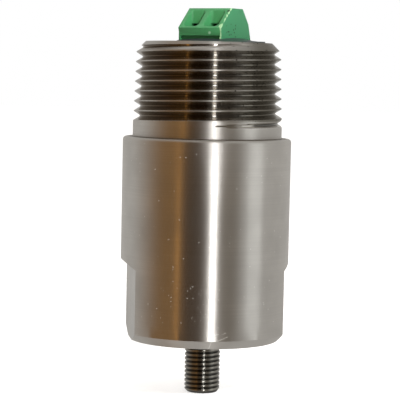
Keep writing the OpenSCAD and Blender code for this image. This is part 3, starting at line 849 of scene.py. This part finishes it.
def make_screw(name, cad_box, screw, turn):
    """A slotted clamp screw with a bevelled head and a fine thread."""
    middle = [(a + b) / 2 for a, b in zip(*cad_box)]
    tip = cad_box[0][2]
    top = cad_box[1][2]
    head = top - screw.head_height
    head_radius = (cad_box[1][0] - cad_box[0][0]) / 2
    root_radius = screw.shank_radius - screw.depth
    soft = screw.edge_break
    start = tip - RUN_IN * screw.pitch
    turns = math.ceil((head - tip) / screw.pitch) + 3
    outline = thread_outline(screw.shank_radius, screw)
    shank = sweep_thread("Shank", outline, start, screw.pitch, turns, SCREW_STEPS)

    def limit(height):
        return root_radius if height >= head else screw.shank_radius - screw.tip_bevel + height - tip

    press_shank(shank, tip, head, limit)
    rings = [
        (root_radius, head),
        (head_radius - soft, head),
        (head_radius, head + soft),
        (head_radius, top - 2 * soft),
        (head_radius - 0.6 * soft, top - 0.6 * soft),
        (head_radius - 2 * soft, top),
        (0, top),
    ]
    piece = join_pieces(name, [shank, turn_profile("Head", rings, SCREW_STEPS)])
    close_ends(piece)
    slot = box_cutter(
        (-2 * head_radius, -screw.slot_width / 2, top - screw.slot_depth),
        (2 * head_radius, screw.slot_width / 2, top + OVERCUT),
    )
    cut_away(piece, slot)
    settle(piece, Matrix.Translation((middle[0], middle[1], 0)) @ Matrix.Rotation(turn, 4, "Z"))
    smooth(piece, SCREW_SMOOTH)
    return piece


def feed(tree, target, inputs):
    """Feed a node's inputs, named or numbered, from other sockets or with plain values."""
    for key, value in inputs.items():
        if isinstance(value, bpy.types.NodeSocket):
            tree.links.new(value, target.inputs[key])
        else:
            target.inputs[key].default_value = value


def node(tree, kind, inputs=None, **options):
    """Add a shader node, set its own options and feed its inputs."""
    made = tree.nodes.new(kind)
    for key, value in options.items():
        setattr(made, key, value)
    feed(tree, made, inputs or {})
    return made


def arithmetic(tree, operation, *values):
    """One Math node; each value is a socket or a plain number."""
    return node(tree, "ShaderNodeMath", dict(enumerate(values)), operation=operation).outputs[0]


def product(tree, first, *others):
    """Multiply masks and plain numbers."""
    for other in others:
        first = arithmetic(tree, "MULTIPLY", first, other)
    return first


def vectors(tree, operation, *values):
    """One Vector Math node; each value is a socket or a plain vector. Returns its outputs."""
    return node(tree, "ShaderNodeVectorMath", dict(enumerate(values)), operation=operation).outputs


def object_place(tree):
    """Object coordinates in metres."""
    return node(tree, "ShaderNodeTexCoord").outputs["Object"]


def axes(tree, vector):
    """The X, Y and Z parts of a vector."""
    return node(tree, "ShaderNodeSeparateXYZ", {0: vector}).outputs


def noise(tree, vector, scale, detail=2.0, roughness=0.5):
    """Cloudy noise from 0 to 1."""
    inputs = {"Vector": vector, "Scale": scale, "Detail": detail, "Roughness": roughness}
    return node(tree, "ShaderNodeTexNoise", inputs).outputs["Fac"]


def scaled(tree, value, low, high):
    """Map a 0 to 1 value onto a range."""
    return node(tree, "ShaderNodeMapRange", {"Value": value, "To Min": low, "To Max": high}).outputs["Result"]


def soft_step(tree, value, edge, soft, falling=False):
    """A mask that rises, or falls, softly across an edge."""
    low, high = (1.0, 0.0) if falling else (0.0, 1.0)
    inputs = {"Value": value, "From Min": edge - soft, "From Max": edge + soft, "To Min": low, "To Max": high}
    return node(tree, "ShaderNodeMapRange", inputs, interpolation_type="SMOOTHSTEP").outputs["Result"]


def soft_band(tree, value, start, end, soft):
    """A soft-edged mask over a span of a value."""
    return product(tree, soft_step(tree, value, start, soft), soft_step(tree, value, end, soft, falling=True))


def near_point(tree, vector, point, radius):
    """A soft round mask about a point, in the vector's own units."""
    gap = vectors(tree, "DISTANCE", vector, point)["Value"]
    return soft_step(tree, gap, radius, 0.4 * radius, falling=True)


def near_line(tree, vector, start, end, width):
    """A soft mask along a straight mark between two points, in the vector's own units."""
    run = Vector(end) - Vector(start)
    from_start = vectors(tree, "SUBTRACT", vector, start)[0]
    along = vectors(tree, "DOT_PRODUCT", from_start, run / run.length_squared)["Value"]
    part = node(tree, "ShaderNodeClamp", {"Value": along}).outputs[0]
    reach = node(tree, "ShaderNodeVectorMath", {0: run, "Scale": part}, operation="SCALE").outputs[0]
    gap = vectors(tree, "DISTANCE", from_start, reach)["Value"]
    return soft_step(tree, gap, width, 0.5 * width, falling=True)


def blend_colours(tree, factor, first, second):
    """Mix two colours by a factor socket; each colour is a socket or three plain values."""
    first, second = (c if isinstance(c, bpy.types.NodeSocket) else (*c, 1) for c in (first, second))
    return node(tree, "ShaderNodeMix", {"Factor": factor, 6: first, 7: second}, data_type="RGBA").outputs[2]


def shade(colour, part):
    """A darker or lighter shade of a colour."""
    return [min(c * part, 1) for c in colour]


def shades(tree, factor, colour, low, high):
    """A colour that goes from a darker to a lighter shade with a factor."""
    return blend_colours(tree, factor, shade(colour, low), shade(colour, high))


def new_group(name, inputs, outputs):
    """Start a shader node group with its sockets; returns the tree, its inputs and its outputs."""
    tree = bpy.data.node_groups.new(name, "ShaderNodeTree")
    for label, kind, default in inputs:
        socket = tree.interface.new_socket(name=label, in_out="INPUT", socket_type=kind)
        if default is not None:
            socket.default_value = default
    for label, kind in outputs:
        tree.interface.new_socket(name=label, in_out="OUTPUT", socket_type=kind)
    return tree, tree.nodes.new("NodeGroupInput"), tree.nodes.new("NodeGroupOutput")


def lines_group(name):
    """Fine lines round the axis, as a turning tool leaves them, and broad patches, from metres."""
    tree, given, result = new_group(
        name,
        [("Vector", "NodeSocketVector", None), ("Spacing", "NodeSocketFloat", 4000.0)],
        [("Line", "NodeSocketFloat"), ("Patch", "NodeSocketFloat")],
    )
    place = given.outputs["Vector"]
    stretch = node(tree, "ShaderNodeCombineXYZ", {"X": 25.0, "Y": 25.0, "Z": given.outputs["Spacing"]})
    rows = vectors(tree, "MULTIPLY", place, stretch.outputs[0])[0]
    feed(tree, result, {"Line": noise(tree, rows, 1.0, 3.0, 0.6), "Patch": noise(tree, place, 140.0)})
    return tree


def specks_group(name):
    """Small scattered marks: a mask of specks in some of the cells of the space."""
    tree, given, result = new_group(
        name,
        [
            ("Vector", "NodeSocketVector", None),
            ("Scale", "NodeSocketFloat", 900.0),
            ("Size", "NodeSocketFloat", 0.12),
        ],
        [("Mask", "NodeSocketFloat")],
    )
    inputs = {key: given.outputs[key] for key in ("Vector", "Scale")}
    cells = node(tree, "ShaderNodeTexVoronoi", inputs, feature="F1", voronoi_dimensions="3D").outputs
    near = arithmetic(tree, "LESS_THAN", cells["Distance"], given.outputs["Size"])
    pick_out = node(tree, "ShaderNodeSeparateColor", {0: cells["Color"]}).outputs["Red"]
    feed(tree, result, {"Mask": product(tree, near, arithmetic(tree, "GREATER_THAN", pick_out, 0.75))})
    return tree


def turning_lines(tree, place):
    """The shared turning lines at a place: their Line and Patch."""
    group = bpy.data.node_groups.get("Turning lines") or lines_group("Turning lines")
    return node(tree, "ShaderNodeGroup", {"Vector": place}, node_tree=group).outputs


def specks(tree, place, scale, size):
    """The shared specks at a place, as a mask."""
    group = bpy.data.node_groups.get("Specks") or specks_group("Specks")
    inputs = {"Vector": place, "Scale": scale, "Size": size}
    return node(tree, "ShaderNodeGroup", inputs, node_tree=group).outputs["Mask"]


def start_material(name):
    """A new material with only its output; returns the material, its tree and its Principled node."""
    made = bpy.data.materials.new(name)
    made.use_nodes = True
    tree = made.node_tree
    tree.nodes.clear()
    skin = node(tree, "ShaderNodeBsdfPrincipled")
    node(tree, "ShaderNodeOutputMaterial", {"Surface": skin.outputs["BSDF"]})
    return made, tree, skin


def emboss(tree, skin, height, strength, distance):
    """Give a finish a fine relief."""
    inputs = {"Height": height, "Strength": strength, "Distance": distance}
    feed(tree, skin, {"Normal": node(tree, "ShaderNodeBump", inputs).outputs["Normal"]})


def brush_round(tree, skin, amount):
    """Draw the highlights out across lines that run round the axis, as on turned metal."""
    around = node(tree, "ShaderNodeTangent", direction_type="RADIAL", axis="Z").outputs["Tangent"]
    feed(tree, skin, {"Anisotropic": amount, "Anisotropic Rotation": 0.25, "Tangent": around})


def groove_depth(tree):
    """The stored depth in a thread's groove."""
    return node(tree, "ShaderNodeAttribute", attribute_name="groove").outputs["Fac"]


def front_point(body, x, z):
    """The point on the front of the body, or of its base chamfer, at a sideways place and a height."""
    radius = body.body_radius - max(body.base_chamfer - z, 0)
    return (x, -math.sqrt(radius**2 - x**2), z)


def thread_dirt_and_shade(tree, finish, place, colour, groove_stain_and_shade, on_thread):
    """Oil stain and painted shade in the thread's grooves, deeper painted shade at their bottoms, painted
    shade on the thread's right and left, and specks of dirt.
    """
    across = axes(tree, place)["X"]
    # Painted shade: the bottoms of the grooves are darkened further
    root = soft_step(tree, groove_depth(tree), 0.9, 0.06)
    # Painted shade: a mask that darkens the right of the thread
    right_shade = product(tree, on_thread, soft_step(tree, across, *RIGHT_SHADE_FROM), 0.85)
    # Painted shade: a mask that darkens the left of the thread to warm brown
    left_shade = product(tree, groove_stain_and_shade, soft_step(tree, across, *LEFT_SHADE_TO, falling=True), 0.8)
    half_right = soft_step(tree, across, *DIRT_FROM)
    dirt = product(tree, specks(tree, place, *THREAD_DIRT), on_thread, half_right)
    colour = blend_colours(tree, groove_stain_and_shade, colour, finish.groove)
    colour = blend_colours(tree, root, colour, shade(finish.groove, 0.4))
    colour = blend_colours(tree, right_shade, colour, finish.right_shade)
    colour = blend_colours(tree, left_shade, colour, finish.left_shade)
    return blend_colours(tree, dirt, colour, finish.dirt)


def foot_shade_mask(tree, body, parts):
    """Painted shade: a dark line where the neck meets the shoulder."""
    below, above, soft = FOOT_SHADE
    flat = node(tree, "ShaderNodeCombineXYZ", {"X": parts["X"], "Y": parts["Y"]}).outputs[0]
    out = vectors(tree, "LENGTH", flat)["Value"]
    at_foot = soft_band(tree, parts["Z"], body.shoulder - below, body.shoulder + above, soft)
    at_neck = soft_band(tree, out, body.mouth_radius, body.body_radius - 1.0 * MM, 0.2 * MM)
    return product(tree, at_foot, at_neck)


def body_marks(tree, body, place, parts, on_body):
    """Pits on the body, a patch of dents low on its front, scratches, and a painted highlight on the base
    chamfer.
    """
    across = soft_band(tree, parts["X"], *DENTS_ACROSS)
    patch = product(tree, across, soft_band(tree, parts["Z"], *DENTS_UP))
    in_patch = arithmetic(tree, "GREATER_THAN", patch, 0.5)
    dents = product(tree, specks(tree, place, *DENTS), in_patch, 0.75)
    pits = product(tree, specks(tree, place, *PITS), on_body, 0.6)
    marks = arithmetic(tree, "MAXIMUM", pits, dents)
    for line_mark in SCRATCHES_AND_GLINT:
        ends = [front_point(body, x * MM, z * MM) for x, z in line_mark]
        marks = arithmetic(tree, "MAXIMUM", marks, near_line(tree, place, *ends, SCRATCH_AND_GLINT_WIDTH))
    return marks


def turned_stainless(finish, body, thread):
    """Turned stainless steel: tool lines round the axis, small pits, oil stain and painted shade in the
    thread's grooves, painted shade beside the thread and at the neck's foot, and a painted highlight on the
    base chamfer.
    """
    made, tree, skin = start_material("turned stainless")
    place = object_place(tree)
    parts = axes(tree, place)
    streaks = turning_lines(tree, place)
    # Partly oil stain, partly painted shade: a mask that darkens the grooves and makes them glossier
    groove_stain_and_shade = soft_step(tree, groove_depth(tree), 0.05, 0.04)
    grain = noise(tree, place, 3600.0)
    on_thread = soft_step(tree, parts["Z"], thread.bottom + 1 * MM, 0.3 * MM)
    on_body = soft_band(tree, parts["Z"], body.base_chamfer, body.shoulder - 1 * MM, 0.5 * MM)
    upper = soft_step(tree, parts["Z"], *COARSE_FROM)
    marks = body_marks(tree, body, place, parts, on_body)

    colour = shades(tree, streaks["Line"], finish.stainless, 0.90, 1.08)
    worn = scaled(tree, streaks["Patch"], -0.6, 1.2)
    colour = blend_colours(tree, worn, colour, shade(finish.stainless, 0.86))
    colour = thread_dirt_and_shade(tree, finish, place, colour, groove_stain_and_shade, on_thread)
    # Painted shade at the neck's foot
    colour = blend_colours(tree, foot_shade_mask(tree, body, parts), colour, finish.foot_shade)
    # Pits, dents, scratches and the painted highlight on the base chamfer
    colour = blend_colours(tree, marks, colour, finish.pit_and_glint)

    coarse = product(tree, upper, scaled(tree, grain, -0.09, 0.20))
    turned = arithmetic(tree, "ADD", scaled(tree, streaks["Patch"], 0.32, 0.42), coarse)
    sheen = node(tree, "ShaderNodeMix", {"Factor": groove_stain_and_shade, "A": turned, "B": 0.17}, data_type="FLOAT")
    metal = scaled(tree, marks, 1.0, 0.4)
    feed(tree, skin, {"Base Color": colour, "Metallic": metal, "Roughness": sheen.outputs["Result"]})
    collar = arithmetic(tree, "MAXIMUM", arithmetic(tree, "SUBTRACT", upper, on_thread), 0.0)
    brush_round(tree, skin, scaled(tree, collar, 0.95, 0.78))
    pebbled = product(tree, grain, on_body, 2.5)
    emboss(tree, skin, arithmetic(tree, "ADD", streaks["Line"], pebbled), 0.12, 0.02 * MM)
    return made


def oiled_steel(finish):
    """Dark oiled alloy steel of the stud in patchy tones, its grooves darkened with painted shade."""
    made, tree, skin = start_material("oiled stud steel")
    streaks = turning_lines(tree, object_place(tree))
    rubbed = shades(tree, streaks["Patch"], finish.stud, 0.8, 1.25)
    # Painted shade: the stud's grooves are darkened
    groove_shade = soft_step(tree, groove_depth(tree), 0.25, 0.2)
    colour = blend_colours(tree, groove_shade, rubbed, shade(finish.stud, 0.22))
    uneven = scaled(tree, streaks["Line"], 0.28, 0.40)
    feed(tree, skin, {"Base Color": colour, "Metallic": 1.0, "Roughness": uneven})
    brush_round(tree, skin, 0.9)
    return made


def block_place(tree, place, block):
    """Coordinates in millimetres in the block's own frame, as it stood before it was turned."""
    inputs = {
        "Vector": place,
        "Scale": (1 / MM, 1 / MM, 1 / MM),
        "Rotation": (0, 0, -block.turn),
        "Location": Matrix.Rotation(-block.turn, 3, "Z") @ Vector((-block.centre / MM, 0, 0)),
    }
    return node(tree, "ShaderNodeMapping", inputs, vector_type="POINT").outputs["Vector"]


def flash_mask(tree, own, parts, block):
    """The torn flash along the right edge of the slope and of the front wall."""
    lean = math.atan2(block.slope_rise, block.slope_run)
    side = block.width / 2 / MM
    front = -block.depth / 2 / MM
    foot = block.slope_foot / MM
    up = arithmetic(tree, "MULTIPLY_ADD", parts["Z"], math.cos(lean), -foot * math.cos(lean))
    run = arithmetic(tree, "MULTIPLY_ADD", parts["Y"], math.sin(lean), -front * math.sin(lean))
    from_slope = arithmetic(tree, "ABSOLUTE", arithmetic(tree, "SUBTRACT", up, run))
    from_wall = arithmetic(tree, "ABSOLUTE", arithmetic(tree, "SUBTRACT", parts["Y"], front + 0.2))
    from_face = arithmetic(tree, "MINIMUM", from_slope, from_wall)
    from_edge = arithmetic(tree, "MAXIMUM", from_face, arithmetic(tree, "SUBTRACT", side, parts["X"]))
    torn = scaled(tree, noise(tree, own, 1.3, 3.0), -0.55, 0.85)
    lump = near_point(tree, own, (side - 0.25, front + 0.45, foot + 0.55), 0.55)
    return arithmetic(tree, "LESS_THAN", from_edge, arithmetic(tree, "MULTIPLY_ADD", lump, 0.55, torn))


def green_moulding(finish, block):
    """Moulded green thermoplastic with a faint grain, a torn flash, specks of dirt, a scuff and painted shade
    on its sawn end.
    """
    made, tree, skin = start_material("green moulding")
    place = object_place(tree)
    own = block_place(tree, place, block)
    parts = axes(tree, own)
    grain = noise(tree, place, 900.0, 3.0)
    on_end = soft_step(tree, parts["X"], block.width / 2 / MM - 0.1, 0.02)
    in_depth = soft_band(tree, parts["Y"], *DIRTY_DEPTH)
    in_height = soft_band(tree, parts["Z"], *DIRTY_HEIGHT)
    dirt = product(tree, specks(tree, own, *BLOCK_DIRT), on_end, in_depth, in_height)
    dirt = arithmetic(tree, "MAXIMUM", dirt, near_point(tree, own, DARK_SPOT, SPOT_RADIUS))
    colour = shades(tree, grain, finish.block, 0.94, 1.06)
    # Painted shade: the end face is darkened and tinted blue
    colour = blend_colours(tree, on_end, colour, [c * part for c, part in zip(finish.block, END_PAINTED_SHADE)])
    colour = blend_colours(tree, flash_mask(tree, own, parts, block), colour, finish.flash)
    colour = blend_colours(tree, near_point(tree, own, SCUFF, SPOT_RADIUS), colour, finish.scuff)
    colour = blend_colours(tree, dirt, colour, finish.block_dirt)
    feed(tree, skin, {"Base Color": colour, "Roughness": scaled(tree, on_end, 0.38, 0.7)})
    emboss(tree, skin, grain, 0.08, 0.03 * MM)
    return made


def slate_resin(finish):
    """Set potting resin: dark slate, slightly uneven, satin."""
    made, tree, skin = start_material("slate potting resin")
    flow = noise(tree, object_place(tree), 260.0)
    feed(tree, skin, {"Base Color": shades(tree, flow, finish.resin, 0.85, 1.2), "Roughness": 0.4})
    emboss(tree, skin, flow, 0.15, 0.1 * MM)
    return made


def plain_metal(name, colour, roughness):
    """A stamped, plated or ground metal with slight unevenness."""
    made, tree, skin = start_material(name)
    cloud = noise(tree, object_place(tree), 600.0, 3.0)
    uneven = scaled(tree, cloud, roughness - 0.05, roughness + 0.08)
    mixed = shades(tree, cloud, colour, 0.9, 1.1)
    feed(tree, skin, {"Base Color": mixed, "Metallic": 1.0, "Roughness": uneven})
    return made


def plain_solid(name, colour, roughness, scale):
    """A fired, moulded or laminated material with a fine speckle."""
    made, tree, skin = start_material(name)
    cloud = noise(tree, object_place(tree), scale, 4.0)
    feed(tree, skin, {"Base Color": shades(tree, cloud, colour, 0.9, 1.1), "Roughness": roughness})
    return made


def dress(piece, material):
    """Give a piece one material."""
    piece.data.materials.clear()
    piece.data.materials.append(material)


def place_piece(piece, body, slot, *nodes):
    """Hide the CAD nodes that a finished piece stands for and attach it to what it rides on; the material
    slot is not used.
    """
    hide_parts(*nodes)
    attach(piece, body)


class SENSOR_OT_housing(bpy.types.Operator):
    """Turn the stainless housing, cut its thread and mill its flats"""

    bl_idname = "sensor.housing"
    bl_label = "Housing"

    def execute(self, context):
        scene = context.scene
        piece = make_housing(scene.sensor_housing, scene.sensor_thread)
        dress(piece, turned_stainless(scene.sensor_finish, scene.sensor_housing, scene.sensor_thread))
        place_piece(piece, "sensor", "stainless", "housing")
        return {"FINISHED"}


class SENSOR_OT_stud(bpy.types.Operator):
    """Cut the mounting stud's thread"""

    bl_idname = "sensor.stud"
    bl_label = "Mounting stud"

    def execute(self, context):
        scene = context.scene
        piece = make_stud(scene.sensor_stud)
        dress(piece, oiled_steel(scene.sensor_finish))
        place_piece(piece, "sensor", "stud_steel", "mounting_stud")
        return {"FINISHED"}


class SENSOR_OT_block(bpy.types.Operator):
    """Mould the green terminal block"""

    bl_idname = "sensor.block"
    bl_label = "Terminal block"

    def execute(self, context):
        scene = context.scene
        piece = make_block(scene.sensor_block)
        dress(piece, green_moulding(scene.sensor_finish, scene.sensor_block))
        place_piece(piece, "sensor", "block_plastic", "terminal_housing")
        return {"FINISHED"}


class SENSOR_OT_potting(bpy.types.Operator):
    """Pour the potting round the terminal block"""

    bl_idname = "sensor.potting"
    bl_label = "Potting"

    def execute(self, context):
        scene = context.scene
        piece = make_potting(scene.sensor_potting, scene.sensor_block)
        dress(piece, slate_resin(scene.sensor_finish))
        place_piece(piece, "sensor", "potting_resin", "potting")
        return {"FINISHED"}


class SENSOR_OT_screws(bpy.types.Operator):
    """Turn the two clamp screws"""

    bl_idname = "sensor.screws"
    bl_label = "Clamp screws"

    def execute(self, context):
        scene = context.scene
        plated = plain_metal("tinned clamp screw", (0.66, 0.66, 0.65), 0.28)
        for side, cad_box in (("left", LEFT_SCREW), ("right", RIGHT_SCREW)):
            name = f"clamp_screw_{side}_turned"
            piece = make_screw(name, cad_box, scene.sensor_screw, scene.sensor_block.turn)
            dress(piece, plated)
            place_piece(piece, f"{side}_screw", "tinned", f"clamp_screw_{side}")
        return {"FINISHED"}


class SENSOR_OT_inside(bpy.types.Operator):
    """Give the pieces inside the housing and the clamp cages their finishes"""

    bl_idname = "sensor.inside"
    bl_label = "Inside pieces"

    def execute(self, context):
        finishes = {
            "ceramic": plain_solid("fired ceramic", (0.86, 0.84, 0.78), 0.45, 700.0),
            "piezo": plain_solid("piezo ceramic", (0.55, 0.50, 0.40), 0.5, 900.0),
            "brass": plain_metal("stamped brass", (0.70, 0.52, 0.22), 0.3),
            "heavy_alloy": plain_metal("ground heavy alloy", (0.30, 0.30, 0.32), 0.4),
            "bush_plastic": plain_solid("white bush plastic", (0.85, 0.85, 0.83), 0.4, 500.0),
            "tinned": plain_metal("tinned metal", (0.66, 0.66, 0.65), 0.32),
            "circuit_board": plain_solid("green circuit board", (0.04, 0.16, 0.07), 0.35, 1200.0),
            "chip_plastic": plain_solid("black component plastic", (0.03, 0.03, 0.032), 0.45, 1500.0),
        }
        slots = {entry["node"]: entry["material_slot"] for entry in frame["record"]["subparts"]}
        for name, cad_node in frame["nodes"].items():
            if slots[name] in finishes and not name.startswith("clamp_screw"):
                dress(cad_node, finishes[slots[name]])
        return {"FINISHED"}


def set_world():
    """A pale studio: a warm board at the left, a dark one beside the camera and a grey one at the right."""
    world = bpy.data.worlds.new("Studio")
    bpy.context.scene.world = world
    world.use_nodes = True
    tree = world.node_tree
    tree.nodes.clear()
    parts = axes(tree, node(tree, "ShaderNodeTexCoord").outputs["Generated"])
    swing = arithmetic(tree, "ARCTAN2", parts["X"], product(tree, parts["Y"], -1.0))
    colour = STUDIO_WALL
    for *edges, board in BOARDS:
        across = soft_band(tree, swing, *(math.radians(edge) for edge in edges))
        colour = blend_colours(tree, across, colour, board)
    steep = soft_step(tree, arithmetic(tree, "ABSOLUTE", parts["Z"]), *STUDIO_STEEP)
    colour = blend_colours(tree, steep, colour, STUDIO_ENDS)
    to_camera = node(tree, "ShaderNodeLightPath").outputs["Is Camera Ray"]
    glow = node(tree, "ShaderNodeBackground", {"Color": blend_colours(tree, to_camera, colour, (1, 1, 1))})
    node(tree, "ShaderNodeOutputWorld", {"Surface": glow.outputs[0]})


def lamp(name, swing, reach, size, radiance, colour=(1, 1, 1), height=0.10, tilt=0.0):
    """An area light round the sensor that faces its axis; its power follows from the radiance wanted."""
    data = bpy.data.lights.new(name, "AREA")
    data.shape = "RECTANGLE"
    data.size, data.size_y = size
    data.energy = radiance * math.pi * size[0] * size[1]
    data.color = colour
    piece = bpy.data.objects.new(name, data)
    bpy.context.scene.collection.objects.link(piece)
    out = Matrix.Rotation(math.radians(swing), 4, "Z") @ Matrix.Translation((0, -reach, height))
    piece.matrix_world = out @ Matrix.Rotation(math.pi / 2 - math.radians(tilt), 4, "X")
    piece.visible_camera = False
    return piece


def set_lamps():
    """A narrow key strip and a lamp above it beside the camera, a soft side light and a weak warm strip."""
    lamp("key strip", swing=11, reach=0.62, size=(0.048, 0.70), radiance=14.0)
    above = lamp(
        "key lamp", swing=29, reach=0.50, size=(0.045, 0.045), radiance=460.0, colour=(1, 1, 0.97),
        height=0.39, tilt=33,
    )
    above.visible_glossy = False
    lamp("side softbox", swing=70, reach=0.70, size=(0.28, 0.50), radiance=0.7, colour=(0.96, 1, 1))
    lamp("warm strip", swing=-37, reach=0.70, size=(0.045, 0.70), radiance=1.0, colour=(1, 0.45, 0.08))


def set_floor():
    """A plain pale floor just under the stud's tip, lifted to near white for the camera."""
    object_mode()
    bpy.ops.mesh.primitive_plane_add(size=FLOOR_SIZE, location=(0, 0, STUD[0][2] - FLOOR_GAP))
    floor = named("floor")
    made, tree, skin = start_material("pale floor")
    to_camera = node(tree, "ShaderNodeLightPath").outputs["Is Camera Ray"]
    feed(tree, skin, {
        "Base Color": (0.9, 0.9, 0.9, 1),
        "Roughness": 0.9,
        "Specular IOR Level": 0.1,
        "Emission Color": (1, 1, 1, 1),
        "Emission Strength": product(tree, to_camera, FLOOR_GLOW),
    })
    dress(floor, made)
    floor.visible_glossy = False


def set_camera(stage):
    """The camera at the photograph's angle, for a square frame."""
    data = bpy.data.cameras.new("camera")
    data.sensor_width = 36.0
    data.lens = stage.lens
    data.clip_start = 0.01
    data.clip_end = 20.0
    camera = bpy.data.objects.new("camera", data)
    bpy.context.scene.collection.objects.link(camera)
    aim = Matrix.Translation((stage.aim_side, 0, stage.aim_height))
    tilt = Matrix.Rotation(math.pi / 2 - stage.elevation, 4, "X")
    back = Matrix.Translation((0, 0, stage.distance))
    camera.matrix_world = aim @ tilt @ back @ Matrix.Rotation(stage.roll, 4, "Z")
    bpy.context.scene.camera = camera


class SENSOR_OT_stage(bpy.types.Operator):
    """Set up the floor, lights, world and camera"""

    bl_idname = "sensor.stage"
    bl_label = "Stage"

    def execute(self, context):
        set_world()
        set_lamps()
        set_floor()
        set_camera(context.scene.sensor_stage)
        context.scene.view_settings.view_transform = "Standard"
        return {"FINISHED"}


SETTINGS = (
    ("sensor_housing", HousingSettings),
    ("sensor_thread", ThreadSettings),
    ("sensor_stud", StudSettings),
    ("sensor_block", BlockSettings),
    ("sensor_potting", PottingSettings),
    ("sensor_screw", ScrewSettings),
    ("sensor_finish", FinishSettings),
    ("sensor_stage", StageSettings),
)
STEPS = (
    SENSOR_OT_housing,
    SENSOR_OT_stud,
    SENSOR_OT_block,
    SENSOR_OT_potting,
    SENSOR_OT_screws,
    SENSOR_OT_inside,
    SENSOR_OT_stage,
)


class SENSOR_PT_panel(bpy.types.Panel):
    """Sidebar panel with the build steps and their settings"""

    bl_idname = "SENSOR_PT_panel"
    bl_label = "Vibration sensor"
    bl_space_type = "VIEW_3D"
    bl_region_type = "UI"
    bl_category = "Sensor"

    def draw(self, context):
        for step in STEPS:
            self.layout.operator(step.bl_idname)
        for name, kind in SETTINGS:
            box = self.layout.box()
            settings = getattr(context.scene, name)
            for key in kind.__annotations__:
                box.prop(settings, key)


def register():
    """Register the settings, the operators and the panel."""
    for name, kind in SETTINGS:
        bpy.utils.register_class(kind)
        setattr(bpy.types.Scene, name, PointerProperty(type=kind))
    for step in STEPS:
        bpy.utils.register_class(step)
    bpy.utils.register_class(SENSOR_PT_panel)


def unregister():
    """Remove the panel, the operators and the settings."""
    bpy.utils.unregister_class(SENSOR_PT_panel)
    for step in reversed(STEPS):
        bpy.utils.unregister_class(step)
    for name, kind in reversed(SETTINGS):
        delattr(bpy.types.Scene, name)
        bpy.utils.unregister_class(kind)


def main():
    """Build every piece and the stage."""
    register()
    bpy.ops.sensor.housing()
    bpy.ops.sensor.stud()
    bpy.ops.sensor.block()
    bpy.ops.sensor.potting()
    bpy.ops.sensor.screws()
    bpy.ops.sensor.inside()
    bpy.ops.sensor.stage()


if __name__ == "__main__":
    main()
